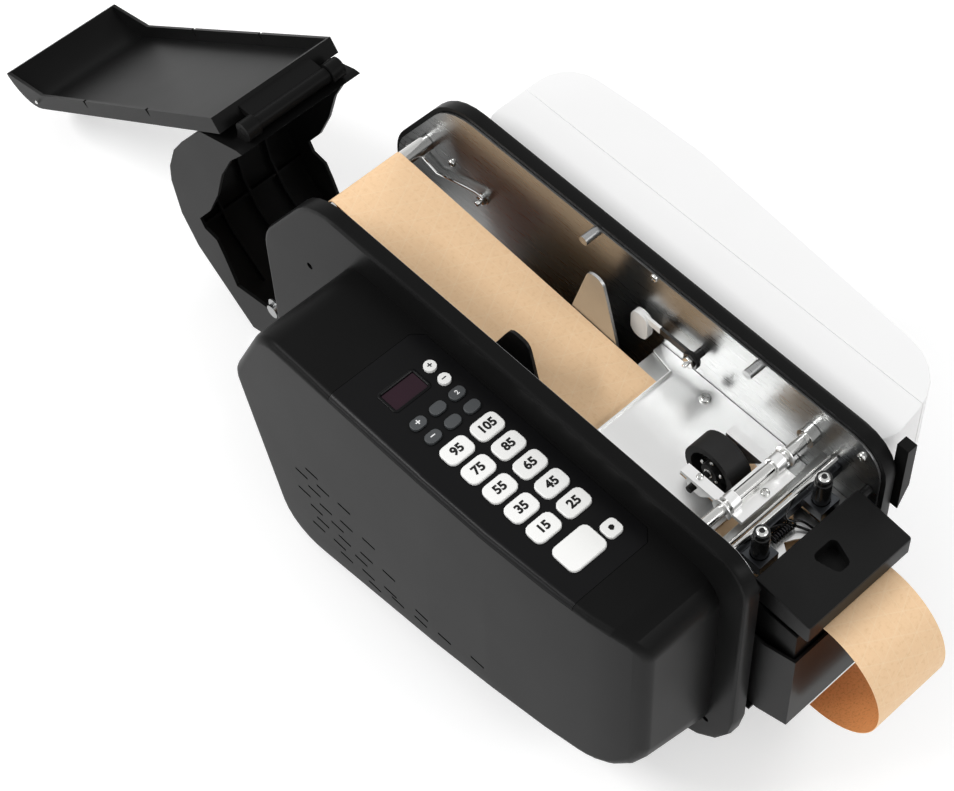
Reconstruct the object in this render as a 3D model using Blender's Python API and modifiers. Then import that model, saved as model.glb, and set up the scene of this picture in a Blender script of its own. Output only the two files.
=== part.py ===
"""Electronic tape dispenser for water-activated paper tape, as a multi-part assembly.

Metres, +Z up. X = 0 is the middle of the tape channel, the tape comes out towards -Y, the keypad
housing is on -X, the water bottle on +X, and the rear cover and top lid are modelled swung open.
"""

import math

import bmesh
import bpy
from mathutils import Matrix, Vector

# General sizes
clearance = 0.0003
loose_fit = 0.0006
overrun = 0.004
arc_steps = 5
key_arc_steps = 3
sharp_degrees = 40
steep_degrees = 60
round_sides = 28
mid_sides = 20
small_sides = 16
few_sides = 10
roll_sides = 48
full_share = 0.9
blunt_share = 0.8

# Tape channel and side frame
tape_width = 0.060
tape_thickness = 0.0004
channel_half = 0.0532
plate_thickness = 0.0015
frame_length = 0.447
frame_front = -0.225
frame_bottom = 0.014
frame_height = 0.256
frame_front_rise = 0.008
frame_chamfer_run = 0.058
frame_chamfer_drop = 0.085
frame_front_low_radius = 0.070
frame_front_top_radius = 0.028
frame_chamfer_radius = 0.050
frame_rear_low_radius = 0.060
frame_top = frame_bottom + frame_height
frame_rear = frame_front + frame_length

# Side covers
flange_width = 0.011
flange_wall = 0.003
flange_edge_radius = 0.0035
plate_inset = 0.0035
flange_inner = channel_half + plate_thickness + clearance
flange_outer = flange_inner + flange_width
cover_screw_radius = 0.0028
cover_screw_shares = ((0.886, 0.705), (0.051, 0.207))

# Electronics housing
housing_reach = 0.078
housing_wall = 0.0035
housing_edge_radius = 0.006
housing_outline_shares = ((0.0447, 0.883), (0.785, 0.883), (0.868, 0.582), (0.785, -0.023), (0.0447, 0.100))
housing_corner_radii = (0.024, 0.026, 0.026, 0.034, 0.052)
housing_plan_shares = ((0.4497, 0.0), (0.322, 0.0145), (0.2125, 0.050), (0.134, 0.094), (0.098, 0.129),
                       (0.067, 0.187), (0.0447, 0.259))
housing_lift_shares = ((0.705, 0.0), (0.45, 0.12), (0.322, 0.19), (0.134, 0.26), (0.0447, 0.32))
housing_outer = flange_outer + housing_reach
housing_top = frame_bottom + frame_height * housing_outline_shares[0][1]

# Vent slots in the housing's outer face, from the rear to the front
vent_length = 0.0125
vent_width = 0.0022
vent_shares = ((0.729, 0.260), (0.729, 0.349), (0.705, 0.130), (0.704, 0.219), (0.702, 0.315), (0.702, 0.400),
               (0.692, 0.178), (0.679, 0.364), (0.679, 0.272), (0.656, 0.139), (0.655, 0.233), (0.642, 0.103),
               (0.641, 0.191), (0.631, 0.286), (0.631, 0.373), (0.605, 0.164), (0.591, 0.120), (0.590, 0.211),
               (0.580, 0.304), (0.578, 0.087), (0.540, 0.139), (0.539, 0.229), (0.524, 0.122), (0.472, 0.135),
               (0.468, 0.177), (0.419, 0.163), (0.348, 0.199))

# Keypad panel and keys
panel_thickness = 0.0018
panel_rear = 0.0575
panel_length = 0.2105
panel_inner = 0.0685
panel_skirt = 0.0045
panel_ledge = 0.006
panel_corner_cut = 0.007
panel_corner_radius = 0.003
key_rise = 0.0020
key_edge = 0.0006
key_travel = 0.0012
key_foot = 0.010
number_key_size = (0.0208, 0.0150)
number_key_radius = 0.0045
number_key_outer_x = 0.1130
number_key_pitch_x = 0.025
number_key_rear_y = -0.0275
number_key_pitch_y = 0.0190
round_key_radius = 0.0043
round_key_share = 0.96
oval_key_size = (0.0115, 0.0080)
oval_key_x = (-0.1168, -0.1007, -0.0847)
oval_key_y = (0.0035, -0.0101)
sign_key_x = -0.0832
sign_key_y = (0.0301, 0.0168)
start_key_size = (0.0295, 0.0215)
start_key_centre = (-0.1075, -0.1284)
cut_key_size = (0.0120, 0.0120)
cut_key_centre = (-0.0843, -0.1317)
number_key_labels = ((95, 105), (75, 85), (55, 65), (35, 45), (15, 25))
small_key_radius = 0.0035
display_size = (0.0262, 0.0145)
display_centre = (-0.1065, 0.0279)
display_recess = 0.0008
display_thickness = 0.0020

# Electronics inside the housing
board_thickness = 0.0016
board_gap = 0.0002
board_outer = 0.128
board_inner = 0.074
board_post_inset = 0.004
board_post_radius = 0.0026
supply_size = (0.046, 0.072, 0.058)
supply_rear = 0.095
supply_low = 0.033
supply_post_share = 0.75
supply_post_radius = 0.004
rocker_waist_share = 0.7
inlet_size = (0.028, 0.030, 0.021)
inlet_low = 0.064
inlet_proud = 0.005
inlet_socket = (0.020, 0.014, 0.013)
rocker_size = (0.020, 0.012, 0.026)
rocker_centre_z = 0.116
rocker_pin_radius = 0.0015
rocker_pin_length = 0.002
inlet_x = -0.108

# Tape roll, its rod and the two guides
roll_radius = 0.080
core_radius = 0.0190
core_wall = 0.0025
roll_y = 0.045
rod_radius = 0.006
guide_thickness = 0.0020
guide_gap = 0.0005
guide_hub_length = 0.018
guide_travel = 0.015
guide_foot_half = 0.030
guide_neck_half = 0.016
left_tab_height = 0.246
right_tab_height = 0.257
left_tab_y = 0.007
right_tab_y = 0.001
left_tab_half = 0.016
right_tab_half = 0.022

# Rear bar and the tape's path from the roll to the free end
bar_radius = 0.006
bar_y = 0.185
bar_z = 0.2112
web_front = -0.060
feed_height = 0.2003
feed_rear = -0.039
feed_front = -0.2065
feed_thickness = 0.002
exit_z = 0.2118
exit_bend_share = 0.45
curl_radius = 0.0495
curl_turn_share = 0.755
curl_steps = 16
wrap_steps = 10
wrap_share = 0.9

# Upper cover plate with the wheel window
upper_thickness = 0.0012
upper_front = -0.160
upper_lip = 0.004
upper_step_x = 0.041
window_left = -0.0095
window_right = 0.0364
window_rear = -0.117
window_front = -0.1465

# Pressure wheel, yoke and cross rod
wheel_radius = 0.0204
wheel_left = -0.0055
wheel_right = 0.0115
wheel_rim = 0.0050
wheel_hub_radius = 0.0065
wheel_web = 0.003
wheel_hole_radius = 0.0030
wheel_holes = 5
axle_radius = 0.0025
wheel_y = -0.1368
yoke_thickness = 0.003
yoke_outer = 0.0235
yoke_inner = 0.0160
yoke_rear = -0.1295
yoke_front = -0.181
yoke_cross_rear = -0.160
yoke_z = 0.2362
yoke_lug_radius = 0.006
cross_rod_radius = 0.004
cross_rod_y = -0.168
cross_rod_z = 0.2405
yoke_barrel_radius = 0.0062
collar_radius = 0.0068
collar_length = 0.008

# Feed roller, gear, pinion and motor
roller_radius = 0.012
roller_width = 0.024
gear_module = 0.0015
gear_teeth = 34
pinion_teeth = 12
tooth_rise_share = 0.62
tooth_drop_share = 1.00
tooth_root_share = 0.261
tooth_tip_share = 0.112
gear_width = 0.006
gear_phase_share = 0.5
gear_gap = 0.010
gear_bore_radius = 0.0030
motor_radius = 0.022
motor_length = 0.044
motor_boss_radius = 0.008
motor_foot = 0.006

# Cutter and its posts
blade_half = 0.045
fixed_blade_y = -0.1835
fixed_blade_thickness = 0.003
fixed_blade_drop = 0.014
moving_blade_thickness = 0.0025
moving_blade_low = 0.2095
moving_bar_low = 0.2200
moving_bar_size = (0.0070, 0.0085)
blade_travel = 0.005
lug_wall = 0.0025
post_x = 0.0270
post_y = -0.1995
post_top = 0.2525
post_head_radius = 0.0050
post_head_height = 0.0042
post_sleeve_radius = 0.0057

# Heater block
heater_half = 0.045
heater_front = -0.257
heater_rear = -0.212
heater_low = 0.2138
heater_front_top = 0.2305
heater_rear_top = 0.2350
heater_edge = 0.0016
heater_pin_radius = 0.0030
heater_pin_y = -0.2150
heater_pin_z = 0.2290
recess_rear_half = 0.0108
recess_front_half = 0.0050
recess_rear = -0.2248
recess_front = -0.2437
recess_depth = 0.0075

# Water tank and brush
tank_front = -0.2505
tank_rear = -0.160
tank_half = 0.0495
tank_front_half = 0.0450
tank_taper_y = -0.2290
tank_low = 0.0980
tank_high = 0.1800
tank_wall = 0.0022
brush_half = 0.036
brush_rear = -0.213
brush_front = -0.243
brush_back = 0.018
brush_handle_top = 0.150
brush_neck_half_share = 0.60

# Base pan
pan_thickness = 0.002
pan_floor = 0.022
pan_front = -0.165
pan_rear = 0.165
pan_rear_rise = 0.016
tank_shelf_front = -0.226
foot_radius = 0.011
foot_x = 0.040
foot_y = 0.140

# Bottle, valve and bracket
bottle_inner = 0.0700
bottle_outer = 0.1615
bottle_outline_shares = ((0.0, 0.0), (0.817, 0.0277), (1.0, 0.661), (0.979, 0.810), (0.920, 1.0), (0.0, 1.0))
bottle_radii = (0.020, 0.042, 0.150, 0.120, 0.030, 0.020)
bottle_front = -0.208
bottle_length = 0.3620
bottle_low = 0.1600
bottle_high = 0.2415
bottle_wall = 0.0022
bottle_edge = 0.018
neck_radius = 0.016
neck_length = 0.014
neck_x = 0.112
neck_y = -0.020
valve_radius = 0.0205
valve_height = 0.022
valve_bore_radius = 0.004
bracket_wall = 0.003
bracket_front = -0.2215
bracket_rear = 0.120
bracket_low = 0.105
bracket_high = 0.2240
shelf_front = -0.160
shelf_reach = 0.074
rib_y = (-0.110, 0.070)
rib_share = 0.85
cheek_front = -0.2285
cheek_rear = -0.2195
cheek_reach = 0.0088
cheek_low = 0.2050
cheek_bend = 0.2240
cheek_top = 0.2685


# Rear cover, measured from its hinge in the open position
cover_half = 0.0525
cover_wall = 0.0025
cover_hinge_y = 0.114
cover_hinge_z = 0.073
cover_reach = 0.240
cover_skin_shares = ((0.679, -0.277), (0.833, -0.142), (0.908, -0.075), (0.967, 0.033), (0.988, 0.171),
                     (0.979, 0.246), (0.938, 0.354), (0.883, 0.438), (0.775, 0.575), (0.600, 0.640))
cover_edge_shares = ((0.575, 0.642), (0.640, 0.562), (0.700, 0.446), (0.742, 0.317), (0.800, 0.192),
                     (0.867, 0.096), (0.850, 0.062), (0.796, 0.054), (0.771, 0.000), (0.729, -0.112))
cover_arm_half = 0.011
hinge_stub_radius = 0.0040
cover_rib = 0.002
cover_rib_height = 0.006
cover_rib_x_shares = (-0.5, 0.0, 0.5)
cross_rib_indices = (2, 4, 7)
stop_tab_y = 0.239
stop_tab_z = 0.0685
stop_tab_half = 0.008
stop_head_radius = 0.0055
stop_head_height = 0.0035

# Top lid, measured along its floor (s) and up its walls (t) from its hinge edge
lid_pivot_y = 0.2615
lid_pivot_z = 0.2345
lid_edge_y = 0.2745
lid_edge_z = 0.2300
lid_length = 0.342
lid_depth = 0.0125
lid_lip = 0.030
lid_lip_radius = 0.034
lid_slope_degrees = 36.1
lid_notch_shares = (0.30, 0.62)
lid_notch_half = 0.0022
barrel_radius = 0.0055
barrel_half = 0.031
lug_radius = 0.0075
lug_width = 0.011
lug_pin_radius = 0.0030
lug_foot_shares = (0.05, 0.30)
lid_lip_shares = (0.98, 1.4)
lid_web_shares = (0.25, 0.8)
barrel_web_shares = (0.6, 0.3)

# Lever and wire spring on the right plate
lever_pivot_y = -0.0735
lever_pivot_z = 0.2285
lever_tip_y = -0.027
lever_x = 0.0450
lever_thickness = 0.0020
lever_half = 0.0028
paddle_low = 0.2075
paddle_half = 0.0075
paddle_thickness = 0.0030
lever_bolt_radius = 0.0030
lever_head_radius = 0.0065
lever_head_height = 0.0030
wire_radius = 0.0011
wire_x = 0.0495
wire_points_yz = ((0.205, 0.1950), (0.197, 0.2000), (0.173, 0.1920), (0.142, 0.2030), (0.134, 0.2055))
wire_seat_y = 0.1265
wire_seat_z = 0.2060

# Studs on the right plate that the closed lid rests on
stud_radius = 0.0035
stud_length = 0.012
stud_drop = 0.0065
stud_y = (0.022, -0.121)

plate_top = frame_top - plate_inset
upper_low = feed_height + tape_thickness + loose_fit
wheel_z = feed_height + tape_thickness + 2 * clearance + wheel_radius
roller_z = feed_height - clearance - roller_radius
key_top = housing_top + key_rise
board_top = key_top - key_foot - key_travel - board_gap
roll_z = pan_floor + pan_thickness + roll_radius + 2 * overrun
gear_radius = gear_module * gear_teeth / 2
pinion_radius = gear_module * pinion_teeth / 2
exit_bend_z = feed_height + clearance + tape_thickness / 2 + (exit_z - feed_height) * exit_bend_share
post_low = exit_bend_z + tape_thickness / 2 + clearance + blade_travel
gear_x = -(flange_outer + gear_gap)
supply_x = -(flange_outer + housing_reach / 2)
lid_slope = math.radians(lid_slope_degrees)


def clear_scene():
    for item in list(bpy.data.objects):
        bpy.data.objects.remove(item, do_unlink=True)


def make_collection(name):
    collection = bpy.data.collections.new(name)
    bpy.context.scene.collection.children.link(collection)
    return collection


clear_scene()
parts = make_collection("tape_dispenser")
cutters = make_collection("cutters")


def material(name, colour, roughness, metallic=0.0):
    made = bpy.data.materials.get(name)
    if made:
        return made
    made = bpy.data.materials.new(name)
    made.use_nodes = True
    shader = made.node_tree.nodes["Principled BSDF"]
    shader.inputs["Base Color"].default_value = (*colour, 1.0)
    shader.inputs["Roughness"].default_value = roughness
    shader.inputs["Metallic"].default_value = metallic
    return made


black_plastic = material("black_plastic", (0.016, 0.016, 0.017), 0.42)
dark_plastic = material("dark_plastic", (0.025, 0.025, 0.027), 0.35)
steel = material("steel", (0.62, 0.62, 0.63), 0.22, 1.0)
bright_steel = material("bright_steel", (0.80, 0.80, 0.80), 0.30, 1.0)
kraft_paper = material("kraft_paper", (0.76, 0.52, 0.30), 0.75)
white_key = material("white_key", (0.86, 0.86, 0.85), 0.45)
grey_key = material("grey_key", (0.10, 0.10, 0.105), 0.5)
dark_glass = material("dark_glass", (0.03, 0.006, 0.008), 0.15)
rubber = material("rubber", (0.02, 0.02, 0.02), 0.7)
milky_plastic = material("milky_plastic", (0.90, 0.90, 0.90), 0.40)
green_board = material("green_board", (0.02, 0.16, 0.06), 0.5)
cast_grey = material("cast_grey", (0.30, 0.30, 0.31), 0.5, 0.6)
bristle = material("bristle", (0.55, 0.50, 0.42), 0.8)


def add_object(name, mesh, look=None):
    made = bpy.data.objects.new(name, mesh)
    (parts if look else cutters).objects.link(made)
    if look:
        mesh.materials.clear()
        mesh.materials.append(look)
    else:
        made.display_type = "WIRE"
        made.hide_render = True
    return made


def from_bmesh(name, bm, look=None):
    mesh = bpy.data.meshes.new(name)
    bmesh.ops.recalc_face_normals(bm, faces=bm.faces)
    bm.to_mesh(mesh)
    bm.free()
    return add_object(name, mesh, look)


def evaluated_mesh(source):
    """The mesh of an object with its modifiers or bevel applied, caps welded, in world coordinates."""
    bpy.context.view_layer.update()
    graph = bpy.context.evaluated_depsgraph_get()
    mesh = bpy.data.meshes.new_from_object(source.evaluated_get(graph))
    mesh.transform(source.matrix_world)
    bm = bmesh.new()
    bm.from_mesh(mesh)
    bmesh.ops.remove_doubles(bm, verts=bm.verts, dist=wire_radius / 100)
    bmesh.ops.recalc_face_normals(bm, faces=bm.faces)
    bm.to_mesh(mesh)
    bm.free()
    return mesh


def box(name, low, high, look=None):
    low, high = Vector(low), Vector(high)
    bm = bmesh.new()
    bmesh.ops.create_cube(bm, size=1.0)
    size = high - low
    bmesh.ops.scale(bm, vec=size, verts=bm.verts)
    bmesh.ops.translate(bm, vec=(low + high) / 2, verts=bm.verts)
    return from_bmesh(name, bm, look)


def cylinder(name, start, end, radius, look=None, sides=round_sides, end_radius=None):
    start, end = Vector(start), Vector(end)
    axis = end - start
    bm = bmesh.new()
    far = radius if end_radius is None else end_radius
    bmesh.ops.create_cone(bm, cap_ends=True, segments=sides, radius1=radius, radius2=far, depth=axis.length)
    turn = axis.to_track_quat("Z", "Y").to_matrix().to_4x4()
    bmesh.ops.transform(bm, matrix=Matrix.Translation((start + end) / 2) @ turn, verts=bm.verts)
    return from_bmesh(name, bm, look)


PLANES = {
    "YZ": Matrix(((0, 0, 1, 0), (1, 0, 0, 0), (0, 1, 0, 0), (0, 0, 0, 1))),
    "XY": Matrix.Identity(4),
    "ZX": Matrix(((0, 1, 0, 0), (0, 0, 1, 0), (1, 0, 0, 0), (0, 0, 0, 1))),
}


def outline_solid(name, points, low, high, plane="YZ", look=None):
    """A flat outline in the named plane, extruded along the third axis from low to high."""
    data = bpy.data.curves.new(name, "CURVE")
    data.dimensions = "2D"
    data.fill_mode = "BOTH"
    data.extrude = (high - low) / 2
    spline = data.splines.new("POLY")
    spline.points.add(len(points) - 1)
    spline.use_cyclic_u = True
    for point, (u, v) in zip(spline.points, points):
        point.co = (u, v, 0, 1)
    curve = bpy.data.objects.new(name, data)
    cutters.objects.link(curve)
    curve.matrix_world = PLANES[plane] @ Matrix.Translation((0, 0, (low + high) / 2))
    mesh = evaluated_mesh(curve)
    bpy.data.objects.remove(curve, do_unlink=True)
    mesh.name = name
    return add_object(name, mesh, look)


def tube(name, points, radius, look=None):
    """A wire along the points, with filled ends."""
    data = bpy.data.curves.new(name, "CURVE")
    data.dimensions = "3D"
    data.bevel_depth = radius
    data.bevel_resolution = 2
    data.use_fill_caps = True
    spline = data.splines.new("POLY")
    spline.points.add(len(points) - 1)
    for point, place in zip(spline.points, points):
        point.co = (*place, 1)
    curve = bpy.data.objects.new(name, data)
    cutters.objects.link(curve)
    mesh = evaluated_mesh(curve)
    bpy.data.objects.remove(curve, do_unlink=True)
    mesh.name = name
    return add_object(name, mesh, look)


def turned(name, profile, centre, axis, look=None, sides=round_sides):
    """A closed profile of (radius, height) pairs turned about an axis through the centre."""
    bm = bmesh.new()
    rings = [bm.verts.new((radius, 0, height)) for radius, height in profile]
    closing = rings[:1] if profile[0][0] and profile[-1][0] else []
    for first, second in zip(rings, rings[1:] + closing):
        bm.edges.new((first, second))
    mesh = bpy.data.meshes.new(name)
    bm.to_mesh(mesh)
    bm.free()
    lathe = bpy.data.objects.new(name, mesh)
    cutters.objects.link(lathe)
    screw = lathe.modifiers.new("turn", "SCREW")
    screw.steps = sides
    screw.render_steps = sides
    screw.use_merge_vertices = True
    screw.merge_threshold = wire_radius / 100
    turn = Vector(axis).to_track_quat("Z", "Y").to_matrix().to_4x4()
    lathe.matrix_world = Matrix.Translation(centre) @ turn
    made = evaluated_mesh(lathe)
    bpy.data.objects.remove(lathe, do_unlink=True)
    made.name = name
    return add_object(name, made, look)


def boolean(target, cutter, operation="DIFFERENCE"):
    modifier = target.modifiers.new(operation.lower(), "BOOLEAN")
    modifier.operation = operation
    modifier.solver = "EXACT"
    modifier.object = cutter
    return target


def join(target, *others):
    for other in others:
        boolean(target, other, "UNION")
    return target


def cut(target, *others):
    for other in others:
        boolean(target, other)
    return target


def soften(target, width, segments=2, degrees=sharp_degrees):
    bevel = target.modifiers.new("edges", "BEVEL")
    bevel.width = width
    bevel.segments = segments
    bevel.limit_method = "ANGLE"
    bevel.angle_limit = math.radians(degrees)
    return target


def bake(target):
    """Applies the modifiers and removes the helpers they used, so that the piece can be worked on again."""
    mesh = evaluated_mesh(target)
    helpers = [modifier.object for modifier in target.modifiers if modifier.type == "BOOLEAN"]
    target.modifiers.clear()
    for helper in helpers:
        bpy.data.objects.remove(helper, do_unlink=True)
    looks = list(target.data.materials)
    target.data = mesh
    mesh.materials.clear()
    for look in looks:
        mesh.materials.append(look)
    return target


def set_origin(target, place):
    """Moves the origin onto a joint's axis without moving the piece."""
    place = Vector(place)
    target.data.transform(Matrix.Translation(-place))
    target.location = place
    return target


def filleted(corners, radii, steps=arc_steps):
    """A closed outline whose corners are arcs of the given radii."""
    points = []
    count = len(corners)
    for index in range(count):
        corner = Vector(corners[index])
        before = (Vector(corners[index - 1]) - corner).normalized()
        after = (Vector(corners[(index + 1) % count]) - corner).normalized()
        radius = radii[index]
        if not radius:
            points.append(corner)
            continue
        half = before.angle(after) / 2
        centre = corner + (before + after).normalized() * (radius / math.sin(half))
        start = corner + before * (radius / math.tan(half)) - centre
        end = corner + after * (radius / math.tan(half)) - centre
        turn = start.angle_signed(end)
        for step in range(steps + 1):
            angle = -turn * step / steps
            points.append(centre + Matrix.Rotation(angle, 2) @ start)
    return [(point.x, point.y) for point in points]


def inset(points, distance):
    """The closed outline moved inwards by a distance, vertex by vertex."""
    area = sum(a[0] * b[1] - b[0] * a[1] for a, b in zip(points, points[1:] + points[:1]))
    side = 1 if area > 0 else -1
    moved = []
    for index, point in enumerate(points):
        here = Vector(point)
        before = (here - Vector(points[index - 1])).normalized()
        after = (Vector(points[(index + 1) % len(points)]) - here).normalized()
        first = Vector((-before.y, before.x)) * side
        second = Vector((-after.y, after.x)) * side
        middle = (first + second).normalized()
        moved.append(here + middle * (distance / max(middle.dot(first), 0.4)))
    return [(point.x, point.y) for point in moved]


def from_frame(shares):
    return [(frame_front + y * frame_length, frame_bottom + z * frame_height) for y, z in shares]


def frame_outline():
    corners = ((frame_front, frame_bottom + frame_front_rise), (frame_rear, frame_bottom),
               (frame_rear, frame_top - frame_chamfer_drop), (frame_rear - frame_chamfer_run, frame_top),
               (frame_front, frame_top))
    radii = (frame_front_low_radius, frame_rear_low_radius, frame_chamfer_radius, frame_chamfer_radius,
             frame_front_top_radius)
    return filleted(corners, radii)


def side_plate(name, side):
    """A steel plate of the tape channel, with its inner face at the channel's half width."""
    near, far = side * channel_half, side * (channel_half + plate_thickness)
    return outline_solid(name, inset(frame_outline(), plate_inset), min(near, far), max(near, far),
                         look=steel)


def flange(name, side):
    """The edge flange of a side cover, hollow towards its plate."""
    near, far = side * flange_inner, side * flange_outer
    body = outline_solid(name, frame_outline(), min(near, far), max(near, far), look=black_plastic)
    round_rim(body, far, flange_edge_radius, 2)
    pocket_end = side * (flange_outer - flange_wall)
    start = side * (flange_inner - overrun)
    pocket = outline_solid(name + "_pocket", inset(frame_outline(), flange_wall + flange_edge_radius),
                           min(start, pocket_end), max(start, pocket_end))
    return body, pocket


def screw_holes(side):
    holes = []
    for number, (y, z) in enumerate(from_frame(cover_screw_shares)):
        start = side * (flange_outer + overrun)
        end = side * (flange_outer - flange_wall - overrun)
        holes.append(cylinder(f"screw_hole_{side}_{number}", (start, y, z), (end, y, z), cover_screw_radius,
                              sides=small_sides))
    return holes


def round_rim(target, x, width, segments):
    """Rounds the sharp edges of a piece that lie in the plane at x."""
    bm = bmesh.new()
    bm.from_mesh(target.data)
    rim = []
    for edge in bm.edges:
        at_x = all(abs(vertex.co.x - x) < clearance / 10 for vertex in edge.verts)
        if at_x and edge.calc_face_angle() > math.radians(sharp_degrees):
            rim.append(edge)
    bmesh.ops.bevel(bm, geom=rim, offset=width, segments=segments, affect="EDGES", profile=0.5)
    bm.to_mesh(target.data)
    bm.free()
    return target


def along(table, share):
    """The value of a falling table of (place, value) pairs at a place, straight between its entries."""
    before = table[0]
    for entry in table:
        if share >= entry[0]:
            step = before[0] - entry[0]
            part = (before[0] - share) / step if step else 1
            return before[1] + (entry[1] - before[1]) * min(max(part, 0), 1)
        before = entry
    return before[1]


def housing_depth(x):
    return min(max((abs(x) - flange_outer) / housing_reach, 0), 1)


def floor_z(y):
    """The height of the housing's sloping underside beside the flange."""
    rear, front = from_frame(housing_outline_shares)[3:5]
    return rear[1] + (front[1] - rear[1]) * (rear[0] - y) / (rear[0] - front[0])


def floor_lift(x, y):
    """How far the underside rises towards the outer face."""
    return housing_reach * housing_depth(x) * along(housing_lift_shares, (y - frame_front) / frame_length)


def shape_housing(target):
    """Draws the outer face in towards the front, and the underside up towards the outer face."""
    bm = bmesh.new()
    bm.from_mesh(target.data)
    places = sorted({place for place, value in housing_plan_shares[:-1] + housing_lift_shares[:-1]})
    for place in places:
        bmesh.ops.bisect_plane(bm, geom=bm.verts[:] + bm.edges[:] + bm.faces[:], dist=clearance / 100,
                               plane_co=(0, frame_front + place * frame_length, 0), plane_no=(0, 1, 0))
    for vertex in bm.verts:
        x, y, z = vertex.co
        low = (housing_top - z) / (housing_top - floor_z(y))
        vertex.co.z += floor_lift(x, y) * min(max(low, 0), 1)
        vertex.co.x += housing_reach * housing_depth(x) * along(housing_plan_shares,
                                                                (y - frame_front) / frame_length)
    bm.to_mesh(target.data)
    bm.free()


def housing_solid(name, shrink, inner_x):
    """The housing's outer form, or the same form moved inwards by shrink."""
    outline = filleted(from_frame(housing_outline_shares), housing_corner_radii)
    if shrink:
        outline = inset(outline, shrink)
    outer = -(housing_outer - shrink)
    solid = outline_solid(name, outline, outer, inner_x)
    round_rim(solid, outer, housing_edge_radius - shrink, 4)
    shape_housing(solid)
    return solid


def vent_cutter():
    bm = bmesh.new()
    for y, z in from_frame(vent_shares):
        place = Matrix.Translation((-housing_outer, y, z))
        size = Matrix.Diagonal((housing_reach / 2, vent_length, vent_width, 1))
        bmesh.ops.create_cube(bm, size=1.0, matrix=place @ size)
    return from_bmesh("vent_cutter", bm)


def rear_wall_y(z):
    """Where the housing's slanted rear wall is at a height."""
    upper, lower = from_frame(housing_outline_shares)[2:4]
    return lower[0] + (upper[0] - lower[0]) * (z - lower[1]) / (upper[1] - lower[1])


def rear_holes():
    """The openings for the mains inlet and the rocker switch, with the switch's pin bearings."""
    half = inlet_size[0] / 2 + clearance
    inlet = box("inlet_hole", (inlet_x - half, 0, inlet_low - clearance),
                (inlet_x + half, frame_rear, inlet_low + inlet_size[2] + clearance))
    half = rocker_size[0] / 2 + loose_fit
    tall = rocker_size[2] / 2 + 2 * loose_fit
    rocker = box("rocker_hole", (inlet_x - half, 0, rocker_centre_z - tall),
                 (inlet_x + half, frame_rear, rocker_centre_z + tall))
    reach = half + rocker_pin_length + clearance
    y = rear_wall_y(rocker_centre_z) - housing_wall
    bearing = cylinder("rocker_bearing", (inlet_x - reach, y, rocker_centre_z),
                       (inlet_x + reach, y, rocker_centre_z),
                       rocker_pin_radius + clearance, sides=small_sides)
    return inlet, rocker, bearing


def panel_region(name, grow):
    """The block in which the panel takes the place of the housing's skin."""
    top = housing_top
    return outline_solid(name, panel_outline(grow, housing_outer + overrun), top - panel_skirt - grow,
                         top + overrun,
                         "XY")


def board_posts():
    places = []
    for x in (-(board_outer - board_post_inset), -(board_inner + board_post_inset)):
        for y in (panel_rear - panel_ledge / 2, panel_rear - panel_length + panel_ledge / 2):
            places.append((x, y))
    return places


def left_cover():
    body, pocket = flange("left_cover", -1)
    shell = housing_solid("housing_shell", 0.0, -(flange_outer - flange_wall / 2))
    hollow = housing_solid("housing_hollow", housing_wall, -(flange_inner - overrun))
    join(body, shell)
    bake(body)
    cut(body, pocket, hollow)
    bake(body)
    seat = panel_region("panel_seat", clearance)
    cut(seat, housing_solid("seat_core", panel_thickness + clearance, -(flange_inner - overrun)))
    bake(seat)
    top = housing_top
    opening = outline_solid("panel_opening", panel_outline(-panel_ledge, board_outer), top - 2 * housing_wall,
                            top + overrun, "XY")
    cut(body, seat, opening, vent_cutter(), *screw_holes(-1), *rear_holes())
    bake(body)
    ceiling = top - (housing_wall + panel_thickness) / 2
    for number, (x, y) in enumerate(board_posts()):
        join(body, cylinder(f"board_post_{number}", (x, y, board_top + clearance), (x, y, ceiling),
                            board_post_radius,
                            sides=small_sides))
    inset_share = supply_post_share / 2
    for number, (a, b) in enumerate(((-1, -1), (-1, 1), (1, -1), (1, 1))):
        x = supply_x + a * supply_size[0] * inset_share
        y = supply_rear - supply_size[1] / 2 + b * supply_size[1] * inset_share
        join(body, cylinder(f"supply_post_{number}", (x, y, floor_z(y) + floor_lift(x, y) + housing_wall / 2),
                            (x, y, supply_low - clearance), supply_post_radius, sides=small_sides))
    return body


def right_cover():
    body, pocket = flange("right_cover", 1)
    return cut(body, pocket, *screw_holes(1))


def panel_outline(grow, outer):
    """The panel's outline seen from above, out to the given distance from the channel's middle."""
    rear = panel_rear + grow
    front = panel_rear - panel_length - grow
    inner = -(panel_inner - grow)
    step = panel_corner_cut
    corners = ((-outer, front), (inner - step, front), (inner, front + step), (inner, rear - step),
               (inner - step, rear), (-outer, rear))
    radii = (0, panel_corner_radius, panel_corner_radius, panel_corner_radius, panel_corner_radius, 0)
    return filleted(corners, radii)


def rounded_rectangle(centre, size, radius):
    x, y = centre
    half_x, half_y = size[0] / 2, size[1] / 2
    corners = ((x - half_x, y - half_y), (x + half_x, y - half_y), (x + half_x, y + half_y),
               (x - half_x, y + half_y))
    return filleted(corners, [radius] * 4, key_arc_steps)


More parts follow.
